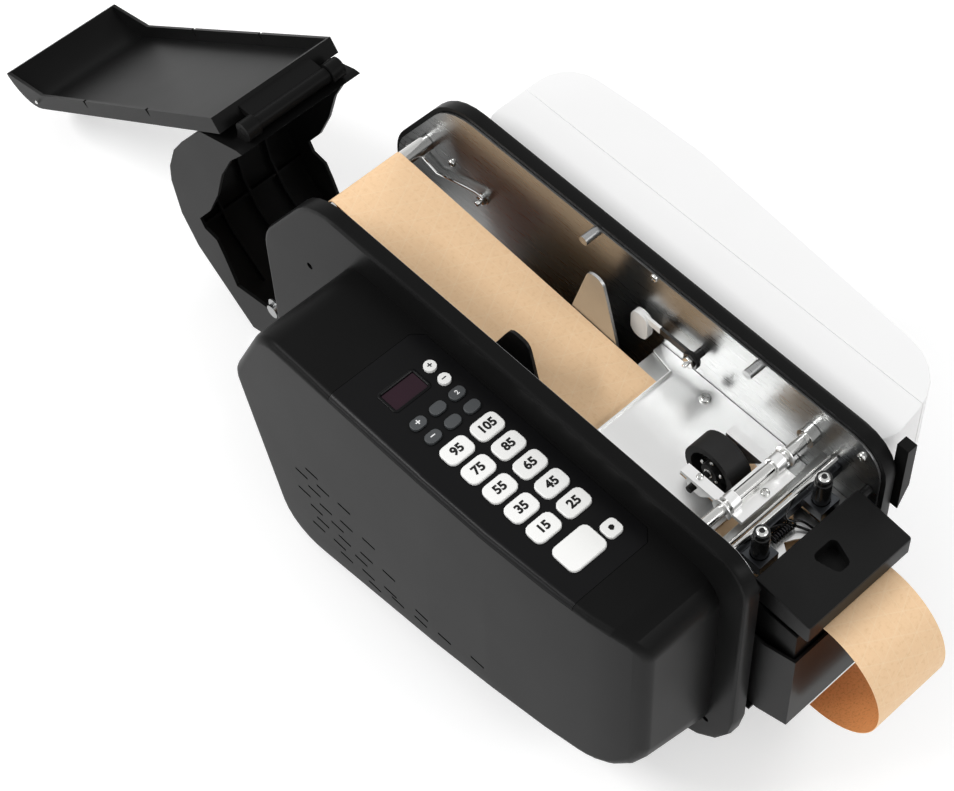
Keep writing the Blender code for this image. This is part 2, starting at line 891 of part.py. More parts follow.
def key_table():
    """Name, centre, size, corner radius and look of every key, as seen by the operator."""
    keys = []
    outer, inner = -number_key_outer_x, -(number_key_outer_x - number_key_pitch_x)
    for row, labels in enumerate(number_key_labels):
        y = number_key_rear_y - row * number_key_pitch_y
        for x, label in zip((outer, inner), labels):
            keys.append((f"key_{label}", (x, y), number_key_size, number_key_radius, white_key))
    names = (("key_up", "key_set", "key_double"), ("key_down", "key_enter", "key_auto"))
    for row, y in enumerate(oval_key_y):
        for column, x in enumerate(oval_key_x):
            keys.append((names[row][column], (x, y), oval_key_size, small_key_radius, grey_key))
    diameter = (2 * round_key_radius, 2 * round_key_radius)
    for name, y in zip(("key_plus", "key_minus"), sign_key_y):
        keys.append((name, (sign_key_x, y), diameter, round_key_radius * round_key_share, white_key))
    keys.append(("key_start", start_key_centre, start_key_size, number_key_radius, white_key))
    keys.append(("key_cut", cut_key_centre, cut_key_size, small_key_radius, white_key))
    return keys


def keypad():
    """The panel: the housing's skin over the keypad, with a skirt over its outer edge, and the keys."""
    top = housing_top
    panel = housing_solid("keypad_panel", 0.0, -(panel_inner - overrun))
    region = panel_region("panel_region", 0)
    boolean(panel, region, "INTERSECT")
    cut(panel, housing_solid("panel_core", panel_thickness, -(panel_inner - 2 * overrun)))
    bake(panel)
    holes = []
    for name, centre, size, radius, look in key_table():
        grown = (size[0] + 2 * clearance, size[1] + 2 * clearance)
        holes.append(outline_solid(name + "_hole", rounded_rectangle(centre, grown, radius + clearance),
                                   top - overrun, top + overrun, "XY"))
        key = outline_solid(name, rounded_rectangle(centre, size, radius), key_top - key_foot, key_top,
                            "XY", look)
        set_origin(key, (centre[0], centre[1], key_top))
        soften(key, key_edge, 1)
    grown = (display_size[0] + 2 * clearance, display_size[1] + 2 * clearance)
    holes.append(outline_solid("display_hole", rounded_rectangle(display_centre, grown, clearance),
                               top - overrun,
                               top + overrun, "XY"))
    cut(panel, *holes)
    parts.objects.link(panel)
    cutters.objects.unlink(panel)
    panel.display_type = "TEXTURED"
    panel.hide_render = False
    panel.data.materials.append(dark_plastic)
    outline_solid("display_window", rounded_rectangle(display_centre, display_size, clearance),
                  top - display_recess - display_thickness, top - display_recess, "XY", dark_glass)
    return panel


def circuit_board():
    front = panel_rear - panel_length
    return box("circuit_board", (-board_outer, front, board_top - board_thickness),
               (-board_inner, panel_rear, board_top),
               green_board)


def power_parts():
    half = supply_size[0] / 2
    low = supply_low
    supply = box("power_supply", (supply_x - half, supply_rear - supply_size[1], low),
                 (supply_x + half, supply_rear, low + supply_size[2]), cast_grey)
    soften(supply, housing_wall, 2)
    middle = inlet_low + inlet_size[2] / 2
    face = rear_wall_y(middle) + inlet_proud
    half = inlet_size[0] / 2
    inlet = box("power_inlet", (inlet_x - half, face - inlet_size[1], inlet_low),
                (inlet_x + half, face, inlet_low + inlet_size[2]), dark_plastic)
    half = inlet_socket[0] / 2
    tall = inlet_socket[2] / 2
    cut(inlet, box("inlet_socket", (inlet_x - half, face - inlet_socket[1], middle - tall),
                   (inlet_x + half, face + overrun, middle + tall)))
    half = rocker_size[0] / 2
    tall = rocker_size[2] / 2
    deep = rocker_size[1] / 2
    pin_y = rear_wall_y(rocker_centre_z) - housing_wall
    wedge = ((pin_y - deep, rocker_centre_z - tall), (pin_y + deep, rocker_centre_z - tall),
             (pin_y + deep * rocker_waist_share, rocker_centre_z), (pin_y + deep, rocker_centre_z + tall),
             (pin_y - deep, rocker_centre_z + tall))
    rocker = outline_solid("power_switch", wedge, inlet_x - half, inlet_x + half, look=dark_plastic)
    reach = half + loose_fit + rocker_pin_length
    join(rocker, cylinder("rocker_pins", (inlet_x - reach, pin_y, rocker_centre_z),
                          (inlet_x + reach, pin_y, rocker_centre_z), rocker_pin_radius, sides=small_sides))
    bake(rocker)
    set_origin(rocker, (inlet_x, pin_y, rocker_centre_z))


def base_pan():
    low, thick = pan_floor, pan_thickness
    half = channel_half - clearance
    shelf_top = tank_low - clearance
    profile = ((pan_rear, low), (pan_rear, low + pan_rear_rise), (pan_rear - thick, low + pan_rear_rise),
               (pan_rear - thick, low + thick), (pan_front + thick, low + thick),
               (pan_front + thick, shelf_top),
               (tank_shelf_front, shelf_top), (tank_shelf_front, shelf_top - thick),
               (pan_front, shelf_top - thick),
               (pan_front, low))
    pan = outline_solid("base_pan", profile, -half, half, look=black_plastic)
    feet = []
    for x in (-foot_x, foot_x):
        for y in (-foot_y, foot_y):
            feet.append(cylinder(f"foot_{x}_{y}", (x, y, 0), (x, y, low + thick / 2), foot_radius,
                                 sides=small_sides))
    return join(pan, *feet)


def tape_roll():
    half = tape_width / 2
    profile = ((core_radius, -half), (roll_radius, -half), (roll_radius, half), (core_radius, half))
    roll = turned("tape_roll", profile, (0, 0, 0), (1, 0, 0), kraft_paper, roll_sides)
    roll.location = (0, roll_y, roll_z)
    return roll


def guide(name, side, tab_y, tab_half, tab_height, look):
    """A roll guide: a foot on the pan, a disc with a hub for the roll's core, and a tab beside the web."""
    near = side * (tape_width / 2 + guide_gap)
    far = side * (tape_width / 2 + guide_gap + guide_thickness)
    foot = pan_floor + pan_thickness + clearance
    web = feed_height
    corners = ((roll_y - guide_foot_half, foot), (roll_y + guide_foot_half, foot),
               (roll_y + guide_neck_half, roll_z - guide_foot_half), (roll_y + guide_foot_half, roll_z),
               (tab_y + tab_half, web), (tab_y + tab_half / 4, tab_height),
               (tab_y - tab_half / 3, tab_height),
               (tab_y - tab_half, web), (roll_y - guide_foot_half, roll_z),
               (roll_y - guide_neck_half, roll_z - guide_foot_half))
    radius = tab_half / 3
    radii = (0, 0, 0, guide_neck_half, radius, radius, radius, radius, guide_neck_half, 0)
    plate = outline_solid(name, filleted(corners, radii), min(near, far), max(near, far), look=look)
    hub_end = near - side * guide_hub_length
    hub = cylinder(name + "_hub", (far - side * guide_thickness / 2, roll_y, roll_z),
                   (hub_end, roll_y, roll_z),
                   core_radius - clearance)
    join(plate, hub)
    bore = cylinder(name + "_bore", (far + side * overrun, roll_y, roll_z),
                    (hub_end - side * overrun, roll_y, roll_z),
                    rod_radius + clearance)
    return cut(plate, bore)


def cross_bar(name, y, z, radius, look=steel):
    half = channel_half - clearance
    return cylinder(name, (-half, y, z), (half, y, z), radius, look)


def tape_path():
    """The tape's middle line from the roll round the rear bar to the feed plate and the curled free end."""
    half = tape_thickness / 2
    roll = Vector((roll_y, roll_z))
    bar = Vector((bar_y, bar_z))
    outer = roll_radius + half + clearance
    wrap = bar_radius + half + clearance
    line = bar - roll
    tilt = math.asin((outer - wrap) / line.length)
    along = math.atan2(line.y, line.x)
    normal = along - math.pi / 2 + tilt
    facing = Vector((math.cos(normal), math.sin(normal)))
    points = [roll + facing * outer]
    end_angle = math.pi / 2 + math.atan2(bar_z + wrap - feed_height, bar_y - web_front) * wrap_share
    for step in range(wrap_steps + 1):
        angle = normal + (end_angle - normal) * step / wrap_steps
        points.append(bar + Vector((math.cos(angle), math.sin(angle))) * wrap)
    level = feed_height + half + clearance
    points += [Vector((web_front, level)), Vector((wheel_y, level)), Vector((upper_front, level))]
    out = Vector((heater_front, exit_z))
    points += [Vector((feed_front, exit_bend_z)), out]
    centre = out - Vector((0, curl_radius))
    end_angle = 2 * math.pi * curl_turn_share
    for step in range(1, curl_steps + 1):
        angle = math.pi / 2 + (end_angle - math.pi / 2) * step / curl_steps
        points.append(centre + Vector((math.cos(angle), math.sin(angle))) * curl_radius)
    return points


def tape_strip():
    """The tape as a ribbon: its path as a strip of faces given the paper's thickness."""
    bm = bmesh.new()
    half = tape_width / 2
    rows = [(bm.verts.new((-half, y, z)), bm.verts.new((half, y, z))) for y, z in tape_path()]
    for (a, b), (c, d) in zip(rows, rows[1:]):
        bm.faces.new((a, b, d, c))
    mesh = bpy.data.meshes.new("tape_strip")
    bm.to_mesh(mesh)
    bm.free()
    strip = add_object("tape_strip", mesh, kraft_paper)
    shell = strip.modifiers.new("thickness", "SOLIDIFY")
    shell.thickness = tape_thickness
    shell.offset = 0
    shell.use_even_offset = True
    return strip


def feed_plates():
    half = channel_half - clearance
    lower = box("feed_plate", (-half, feed_front, feed_height - feed_thickness),
                (half, feed_rear, feed_height), steel)
    slot = roller_radius + loose_fit
    cut(lower, box("roller_slot", (-roller_width / 2 - loose_fit, wheel_y - slot, feed_height - 2 * overrun),
                   (roller_width / 2 + loose_fit, wheel_y + slot, feed_height + overrun)))
    blade = fixed_blade_thickness / 2 + clearance
    cut(lower, box("blade_slot", (-blade_half - clearance, fixed_blade_y - blade, feed_height - 2 * overrun),
                   (blade_half + clearance, fixed_blade_y + blade, feed_height + overrun)))
    corners = ((-half, upper_front), (half, upper_front), (half, feed_rear),
               (upper_step_x + overrun, feed_rear),
               (upper_step_x, web_front), (-half, web_front))
    upper = outline_solid("upper_plate", corners, upper_low, upper_low + upper_thickness, "XY", bright_steel)
    lip = box("upper_lip", (-half, web_front, upper_low + upper_thickness / 2),
              (upper_step_x, web_front + upper_thickness, upper_low + upper_lip))
    join(upper, lip)
    cut(upper, box("wheel_window", (window_left, window_front, upper_low - overrun),
                   (window_right, window_rear, upper_low + 2 * overrun)))
    spacer_half = (half - tape_width / 2) / 3
    for side in (-1, 1):
        x = side * (half - spacer_half - clearance)
        rail = box(f"side_rail_{side}", (x - spacer_half, upper_front + clearance, feed_height + clearance),
                   (x + spacer_half, web_front - clearance, upper_low + upper_thickness / 2))
        join(upper, rail)
    return lower, upper


def pressure_wheel():
    inner = wheel_radius - wheel_rim
    middle = (wheel_left + wheel_right) / 2
    low, high = middle - wheel_web / 2, middle + wheel_web / 2
    hub = wheel_hub_radius
    profile = ((0, wheel_left), (hub, wheel_left), (hub, low), (inner, low), (inner, wheel_left),
               (wheel_radius, wheel_left), (wheel_radius, wheel_right), (inner, wheel_right), (inner, high),
               (hub, high), (hub, wheel_right), (0, wheel_right))
    wheel = turned("pressure_wheel", profile, (0, 0, 0), (1, 0, 0), rubber)
    pitch = (hub + inner) / 2
    for number in range(wheel_holes):
        angle = 2 * math.pi * number / wheel_holes
        y, z = pitch * math.cos(angle), pitch * math.sin(angle)
        cut(wheel, cylinder(f"wheel_hole_{number}", (wheel_left, y, z), (wheel_right, y, z),
                            wheel_hole_radius,
                            sides=few_sides))
    reach = yoke_outer - clearance
    join(wheel, cylinder("wheel_axle", (-reach, 0, 0), (reach, 0, 0), axle_radius, sides=small_sides))
    bake(wheel)
    wheel.location = (0, wheel_y, wheel_z)
    return wheel


def wheel_yoke():
    corners = ((-yoke_outer, yoke_front), (yoke_outer, yoke_front), (yoke_outer, yoke_rear),
               (yoke_inner, yoke_rear), (yoke_inner, yoke_cross_rear), (-yoke_inner, yoke_cross_rear),
               (-yoke_inner, yoke_rear), (-yoke_outer, yoke_rear))
    yoke = outline_solid("wheel_yoke", corners, yoke_z - yoke_thickness, yoke_z, "XY", bright_steel)
    pieces = []
    for side in (-1, 1):
        near, far = sorted((side * yoke_inner, side * (yoke_inner + yoke_thickness)))
        lug = filleted(((wheel_y - yoke_lug_radius, wheel_z - yoke_lug_radius),
                        (wheel_y + yoke_lug_radius, wheel_z - yoke_lug_radius),
                        (wheel_y + yoke_lug_radius, yoke_z - yoke_thickness / 2),
                        (yoke_cross_rear, yoke_z - yoke_thickness / 2)),
                       (yoke_lug_radius * full_share, yoke_lug_radius * full_share, 0, 0))
        pieces.append(outline_solid(f"yoke_lug_{side}", lug, near, far))
        near, far = sorted((side * yoke_inner, side * yoke_outer))
        pieces.append(cylinder(f"yoke_barrel_{side}", (near, cross_rod_y, cross_rod_z),
                               (far, cross_rod_y, cross_rod_z), yoke_barrel_radius, sides=mid_sides))
    join(yoke, *pieces)
    reach = yoke_outer + overrun
    cut(yoke, cylinder("yoke_rod_bore", (-reach, cross_rod_y, cross_rod_z), (reach, cross_rod_y, cross_rod_z),
                       cross_rod_radius + clearance, sides=mid_sides))
    cut(yoke, cylinder("yoke_axle_bore", (-reach, wheel_y, wheel_z), (reach, wheel_y, wheel_z),
                       axle_radius + clearance, sides=small_sides))
    bake(yoke)
    return set_origin(yoke, (0, cross_rod_y, cross_rod_z))


def cross_rod():
    rod = cross_bar("cross_rod", cross_rod_y, cross_rod_z, cross_rod_radius)
    half = channel_half - clearance
    for side in (-1, 1):
        join(rod, cylinder(f"rod_collar_{side}", (side * half, cross_rod_y, cross_rod_z),
                           (side * (half - collar_length), cross_rod_y, cross_rod_z), collar_radius))
    return rod


def gear_outline(teeth, phase):
    pitch = gear_module * teeth / 2
    tip = pitch + gear_module * tooth_rise_share
    root = pitch - gear_module * tooth_drop_share
    step = 2 * math.pi / teeth
    points = []
    for tooth in range(teeth):
        middle = (tooth + phase) * step
        wide, narrow = step * tooth_root_share, step * tooth_tip_share
        for radius, angle in ((root, -wide), (tip, -narrow), (tip, narrow), (root, wide)):
            points.append((radius * math.cos(middle + angle), radius * math.sin(middle + angle)))
    return points


def drive_train():
    roller = cylinder("feed_roller", (-roller_width / 2, 0, 0), (roller_width / 2, 0, 0), roller_radius,
                      rubber)
    shaft_end = gear_x - gear_width - overrun
    shaft = cylinder("roller_shaft", (shaft_end, 0, 0), (channel_half - clearance, 0, 0), axle_radius,
                     sides=small_sides)
    join(roller, shaft)
    bake(roller)
    roller.location = (0, wheel_y, roller_z)
    gear = outline_solid("roller_gear", gear_outline(gear_teeth, gear_phase_share), gear_x - gear_width,
                         gear_x,
                         look=cast_grey)
    cut(gear, cylinder("gear_bore", (gear_x - 2 * gear_width, 0, 0), (gear_x + gear_width, 0, 0),
                       axle_radius + clearance, sides=small_sides))
    bake(gear)
    gear.location = (0, wheel_y, roller_z)
    motor_z = roller_z - gear_radius - pinion_radius
    pinion = outline_solid("motor_pinion", gear_outline(pinion_teeth, gear_phase_share),
                           gear_x - gear_width, gear_x,
                           look=cast_grey)
    shaft_start = gear_x - gear_width - motor_foot
    join(pinion, cylinder("pinion_shaft", (shaft_start, 0, 0), (gear_x - gear_width / 2, 0, 0), axle_radius,
                          sides=small_sides))
    bake(pinion)
    pinion.location = (0, wheel_y, motor_z)
    motor_start = gear_x - gear_width - clearance * 2
    motor_end = motor_start - motor_length
    motor = cylinder("drive_motor", (motor_end, wheel_y, motor_z), (motor_start, wheel_y, motor_z),
                     motor_radius,
                     cast_grey)
    cut(motor, cylinder("motor_bore", (shaft_start - clearance, wheel_y, motor_z),
                        (motor_start + overrun, wheel_y, motor_z), axle_radius + clearance,
                        sides=small_sides))
    foot_y = wheel_y - motor_radius + motor_foot / 2
    foot_end = -(channel_half + plate_thickness + clearance)
    wall = cylinder("motor_foot", (motor_start - motor_foot, foot_y, motor_z), (foot_end, foot_y, motor_z),
                    motor_foot / 2, sides=small_sides)
    join(motor, wall)
    return roller, gear, pinion, motor


def cutter_parts():
    """The fixed blade in the feed plate, and the moving blade on its bar, which carries the two posts."""
    half = fixed_blade_thickness / 2
    fixed = box("fixed_blade", (-blade_half, fixed_blade_y - half, feed_height - fixed_blade_drop),
                (blade_half, fixed_blade_y + half, feed_height), steel)
    rear = fixed_blade_y - half - clearance
    front = rear - moving_blade_thickness
    low, high = moving_bar_low, moving_bar_low + moving_bar_size[1]
    moving = box("moving_blade", (-blade_half, front, moving_blade_low), (blade_half, rear, low + overrun),
                 steel)
    bar_half = channel_half - clearance
    join(moving, box("blade_bar", (-bar_half, rear - moving_bar_size[0], low), (bar_half, rear, high)))
    bake(moving)
    reach = post_sleeve_radius + lug_wall
    for number, x in enumerate((-post_x, post_x)):
        join(moving, box(f"post_lug_{number}", (x - reach, post_y - reach, low + clearance),
                         (x + reach, rear - moving_bar_size[0] / 2, high - clearance)))
    bake(moving)
    posts = []
    for name, x in (("left_post", -post_x), ("right_post", post_x)):
        neck = post_top - post_head_height
        profile = ((0, post_low), (post_sleeve_radius, post_low), (post_sleeve_radius, neck),
                   (post_head_radius, neck),
                   (post_head_radius, post_top), (0, post_top))
        posts.append(turned(name, profile, (x, post_y, 0), (0, 0, 1), dark_plastic, mid_sides))
        cut(moving, cylinder(name + "_bore", (x, post_y, low - overrun), (x, post_y, high + overrun),
                             post_sleeve_radius + clearance, sides=mid_sides))
    bake(moving)
    set_origin(moving, (0, fixed_blade_y, moving_bar_low))
    return fixed, moving, posts


def heater_block():
    profile = ((heater_front, heater_low), (heater_rear, heater_low), (heater_rear, heater_rear_top),
               (heater_front, heater_front_top))
    block = outline_solid("heater_block", profile, -heater_half, heater_half, look=black_plastic)
    soften(block, heater_edge, 2)
    bake(block)
    recess = ((-recess_front_half, recess_front), (recess_front_half, recess_front),
              (recess_rear_half, recess_rear), (-recess_rear_half, recess_rear))
    low = heater_front_top - recess_depth
    cut(block, outline_solid("finger_recess", filleted(recess, (recess_front_half * blunt_share,) * 4),
                             low, heater_rear_top + overrun, "XY"))
    for side in (-1, 1):
        join(block, cylinder(f"heater_pin_{side}",
                             (side * (heater_half - overrun), heater_pin_y, heater_pin_z),
                             (side * (channel_half - clearance), heater_pin_y, heater_pin_z),
                             heater_pin_radius,
                             sides=small_sides))
    bake(block)
    return set_origin(block, (0, heater_pin_y, heater_pin_z))


def tank_outline(shrink):
    corners = ((-tank_front_half, tank_front), (tank_front_half, tank_front), (tank_half, tank_taper_y),
               (tank_half, tank_rear), (-tank_half, tank_rear), (-tank_half, tank_taper_y))
    return inset(list(corners), shrink) if shrink else list(corners)


def water_parts():
    tank = outline_solid("water_tank", tank_outline(0), tank_low, tank_high, "XY", black_plastic)
    cut(tank, outline_solid("tank_hollow", tank_outline(tank_wall), tank_low + tank_wall,
                            tank_high + overrun, "XY"))
    low = tank_low + tank_wall + clearance
    neck_y = (brush_rear + brush_front) / 2
    neck = (brush_rear - brush_front) / 2 * brush_neck_half_share
    rise = (exit_z - exit_bend_z) / (feed_front - heater_front)
    brush_top = exit_bend_z + (feed_front - neck_y - neck) * rise - tape_thickness / 2 - clearance
    profile = ((brush_front, low), (brush_rear, low), (brush_rear, brush_handle_top),
               (neck_y + neck, brush_handle_top),
               (neck_y + neck, brush_top), (neck_y - neck, brush_top), (neck_y - neck, brush_handle_top),
               (brush_front, brush_handle_top))
    brush = outline_solid("water_brush", profile, -brush_half, brush_half, look=bristle)
    return tank, brush


def bottle_outline(shrink):
    width = bottle_outer - bottle_inner
    corners = [(bottle_inner + x * width, bottle_front + y * bottle_length) for x, y in bottle_outline_shares]
    points = filleted(corners, bottle_radii)
    return inset(points, shrink) if shrink else points


def bottle_parts():
    bottle = outline_solid("water_bottle", bottle_outline(0), bottle_low, bottle_high, "XY", milky_plastic)
    soften(bottle, bottle_edge, 4, steep_degrees)
    bake(bottle)
    hollow = outline_solid("bottle_hollow", bottle_outline(bottle_wall), bottle_low + bottle_wall,
                           bottle_high - bottle_wall, "XY")
    soften(hollow, bottle_edge - bottle_wall, 4, steep_degrees)
    bake(hollow)
    neck_low = bottle_low - neck_length
    neck = cylinder("bottle_neck", (neck_x, neck_y, neck_low), (neck_x, neck_y, bottle_low + bottle_wall / 2),
                    neck_radius)
    join(bottle, neck)
    cut(bottle, hollow, cylinder("bottle_mouth", (neck_x, neck_y, neck_low - overrun),
                                 (neck_x, neck_y, bottle_low + 2 * overrun), neck_radius - bottle_wall))
    low = neck_low - clearance - bottle_wall
    high = low + valve_height
    rim = neck_radius + clearance
    profile = ((valve_bore_radius, low), (valve_radius, low),
               (valve_radius, neck_low + neck_length - bottle_wall),
               (rim, neck_low + neck_length - bottle_wall), (rim, low + bottle_wall),
               (valve_bore_radius, low + bottle_wall))
    valve = turned("bottle_valve", profile, (neck_x, neck_y, 0), (0, 0, 1), dark_plastic, mid_sides)
    return bottle, valve


def bottle_bracket():
    """A plate on the right cover with a ribbed shelf for the bottle, a valve hole and a front cheek."""
    inner = flange_outer + clearance
    skin = bracket_wall / 4
    high = bottle_low - clearance
    low = high - bracket_wall
    bracket = box("bottle_bracket", (inner, bracket_front, bracket_low),
                  (inner + bracket_wall, bracket_rear, bracket_high),
                  black_plastic)
    join(bracket, box("bottle_shelf", (inner + skin, shelf_front, low),
                      (inner + shelf_reach, bracket_rear - skin, high)))
    bake(bracket)
    cut(bracket, cylinder("valve_hole", (neck_x, neck_y, low - overrun), (neck_x, neck_y, high + overrun),
                          valve_radius + overrun / 2))
    bake(bracket)
    for number, y in enumerate(rib_y):
        rib = ((low + skin, inner + skin), (low + skin, inner + shelf_reach * rib_share),
               (bracket_low + skin, inner + skin))
        join(bracket, outline_solid(f"shelf_rib_{number}", rib, y - bracket_wall / 2, y + bracket_wall / 2,
                                    "ZX"))
        bake(bracket)
    cheek = ((cheek_low, inner + skin), (cheek_bend, inner + cheek_reach), (cheek_top, inner + cheek_reach),
             (cheek_top, inner + skin))
    join(bracket, outline_solid("bracket_cheek", cheek, cheek_front, cheek_rear, "ZX"))
    return bake(bracket)


def from_hinge(shares):
    return [(cover_hinge_y + y * cover_reach, cover_hinge_z + z * cover_reach) for y, z in shares]


def cover_outlines():
    skin = from_hinge(cover_skin_shares)
    edge = from_hinge(cover_edge_shares)
    along = (Vector(edge[-1]) + Vector(skin[0])) / 2 - Vector((cover_hinge_y, cover_hinge_z))
    across = Vector((-along.y, along.x)).normalized() * cover_arm_half
    hinge = Vector((cover_hinge_y, cover_hinge_z))
    round_end = []
    steps = 6
    for step in range(steps + 1):
        turn = Matrix.Rotation(math.pi * step / steps, 2)
        round_end.append(tuple(hinge + turn @ across))
    outer = skin + edge + round_end
    inner = []
    for index, point in enumerate(skin):
        before = Vector(skin[max(index - 1, 0)])
        after = Vector(skin[min(index + 1, len(skin) - 1)])
        way = (after - before).normalized()
        inner.append(Vector(point) + Vector((-way.y, way.x)) * cover_wall)
    return outer, inner


def across(before, after):
    """The unit direction into the cover, square to its skin between two of its points."""
    way = (Vector(after) - Vector(before)).normalized()
    return Vector((-way.y, way.x))


def long_rib(name, skin, x):
    """A rib along the inside of the skin, buried in it by half the wall."""
    run = [skin[0].lerp(skin[1], 0.5)] + skin[1:-1] + [skin[-2].lerp(skin[-1], 0.5)]
    low, high = [], []
    for index, point in enumerate(run):
        up = across(run[max(index - 1, 0)], run[min(index + 1, len(run) - 1)])
        low.append(tuple(point - up * (cover_wall / 2)))
        high.append(tuple(point + up * cover_rib_height))
    return outline_solid(name, low + high[::-1], x - cover_rib / 2, x + cover_rib / 2)


def cross_rib(name, first, second):
    """A rib from wall to wall, in the middle of one stretch of the skin."""
    half = cover_half - cover_wall / 2
    up = across(first, second)
    way = (second - first).normalized() * (cover_rib / 2)
    middle = first.lerp(second, 0.5)
    low = middle - up * (cover_wall / 2)
    high = middle + up * (cover_rib_height - cover_wall / 2)
    return outline_solid(name, [tuple(low - way), tuple(low + way), tuple(high + way), tuple(high - way)],
                         -half, half)


def rear_cover():
    outer, inner = cover_outlines()
    cover = outline_solid("rear_cover", outer, -cover_half, cover_half, look=black_plastic)
    way_in = (inner[0] - inner[1]).normalized() * (2 * cover_wall)
    way_out = (inner[-1] - inner[-2]).normalized() * (2 * cover_wall)
    far = cover_hinge_y - 3 * cover_arm_half
    ends = inner[0] + way_in, inner[-1] + way_out
    hollow = [tuple(ends[0])] + [tuple(point) for point in inner] + [tuple(ends[1])]
    hollow += [(far, ends[1].y), (far, ends[0].y)]
    cut(cover, outline_solid("cover_hollow", hollow, -(cover_half - cover_wall), cover_half - cover_wall))
    bake(cover)
    for number, share in enumerate(cover_rib_x_shares):
        join(cover, long_rib(f"long_rib_{number}", inner, share * cover_half))
        bake(cover)
    for index in cross_rib_indices:
        join(cover, cross_rib(f"cross_rib_{index}", inner[index], inner[index + 1]))
        bake(cover)
    pivot = Vector((lid_pivot_y, lid_pivot_z))
    skin = [Vector(point) for point in from_hinge(cover_skin_shares)]
    up = across(skin[-2], skin[-1]) * (cover_wall / 2)
    buried = [skin[-1].lerp(skin[-2], share) + up for share in lug_foot_shares]
    side_step = Vector((lug_radius * blunt_share, 0))
    neck = [tuple(pivot + side_step), tuple(pivot - side_step), tuple(buried[0]), tuple(buried[1])]
    for side in (-1, 1):
        near = side * (barrel_half + loose_fit)
        near, far = sorted((near, near + side * lug_width))
        join(cover, outline_solid(f"lug_neck_{side}", neck, near + clearance, far - clearance))
        bake(cover)
        join(cover, cylinder(f"cover_lug_{side}", (near, *pivot), (far, *pivot), lug_radius, sides=mid_sides))
        bake(cover)
    reach = cover_half + overrun
    cut(cover, cylinder("lug_bore", (-reach, *pivot), (reach, *pivot), lug_pin_radius + clearance,
                        sides=small_sides))
    hinge = (cover_hinge_y, cover_hinge_z)
    cut(cover, cylinder("hinge_bore", (-reach, *hinge), (reach, *hinge), hinge_stub_radius + clearance,
                        sides=mid_sides))
    bake(cover)
    return set_origin(cover, (0, *hinge))


def lid_point(s, t):
    """A point of the open lid, s along its floor from the hinge edge and t up its walls."""
    along = Vector((math.cos(lid_slope), -math.sin(lid_slope)))
    up = Vector((math.sin(lid_slope), math.cos(lid_slope)))
    return tuple(Vector((lid_edge_y, lid_edge_z)) + along * s + up * t)


def lid_side(shrink):
    """The lid's side outline: floor, rounded front lip, wall top."""
    floor = shrink
    points = [(shrink, floor)]
    flat_end = lid_length - lid_lip_radius
    steps = 8
    sweep = math.pi / 2 * lid_lip_shares[0]
    for step in range(steps + 1):
        angle = -math.pi / 2 + sweep * step / steps
        radius = lid_lip_radius - shrink
        points.append((flat_end + radius * math.cos(angle), lid_lip_radius + radius * math.sin(angle)))
    top = lid_lip if not shrink else lid_lip + overrun
    points = [point for point in points if point[1] < top]
    points.append((points[-1][0] + clearance, top))
    return points


def top_lid():
    outer = lid_side(0)
    wall_top = [(outer[-1][0] - cover_wall, lid_lip),
                (lid_length - lid_lip_radius * lid_lip_shares[1], lid_depth), (0, lid_depth)]
    lid = outline_solid("top_lid", [lid_point(*point) for point in outer + wall_top], -cover_half, cover_half,
                        look=black_plastic)
    hollow = lid_side(cover_wall)
    tall = lid_lip + overrun
    hollow += [(cover_wall, tall)]
    cut(lid, outline_solid("lid_hollow", [lid_point(*point) for point in hollow], -(cover_half - cover_wall),
                           cover_half - cover_wall))
    reach = cover_half + overrun
    for number, share in enumerate(lid_notch_shares):
        s = share * lid_length
        notch = [lid_point(s - lid_notch_half, lid_depth + overrun), lid_point(s, lid_depth / 2),
                 lid_point(s + 2 * lid_notch_half, lid_depth + overrun)]
        cut(lid, outline_solid(f"lid_notch_{number}", notch, -reach, reach))
    bake(lid)
    join(lid, cylinder("lid_barrel", (-barrel_half, lid_pivot_y, lid_pivot_z),
                       (barrel_half, lid_pivot_y, lid_pivot_z),
                       barrel_radius, sides=mid_sides))
    pivot = Vector((lid_pivot_y, lid_pivot_z))
    web = [tuple(pivot + Vector((0, barrel_radius * barrel_web_shares[0]))),
           tuple(pivot - Vector((0, barrel_radius * barrel_web_shares[1]))),
           lid_point(cover_wall / 2, lid_depth * lid_web_shares[0]),
           lid_point(cover_wall / 2, lid_depth * lid_web_shares[1])]
    join(lid, outline_solid("lid_web", web, -barrel_half, barrel_half))
    pin_reach = barrel_half + loose_fit + lug_width
    join(lid, cylinder("lid_pins", (-pin_reach, lid_pivot_y, lid_pivot_z),
                       (pin_reach, lid_pivot_y, lid_pivot_z),
                       lug_pin_radius, sides=small_sides))
    bake(lid)
    return set_origin(lid, (0, lid_pivot_y, lid_pivot_z))


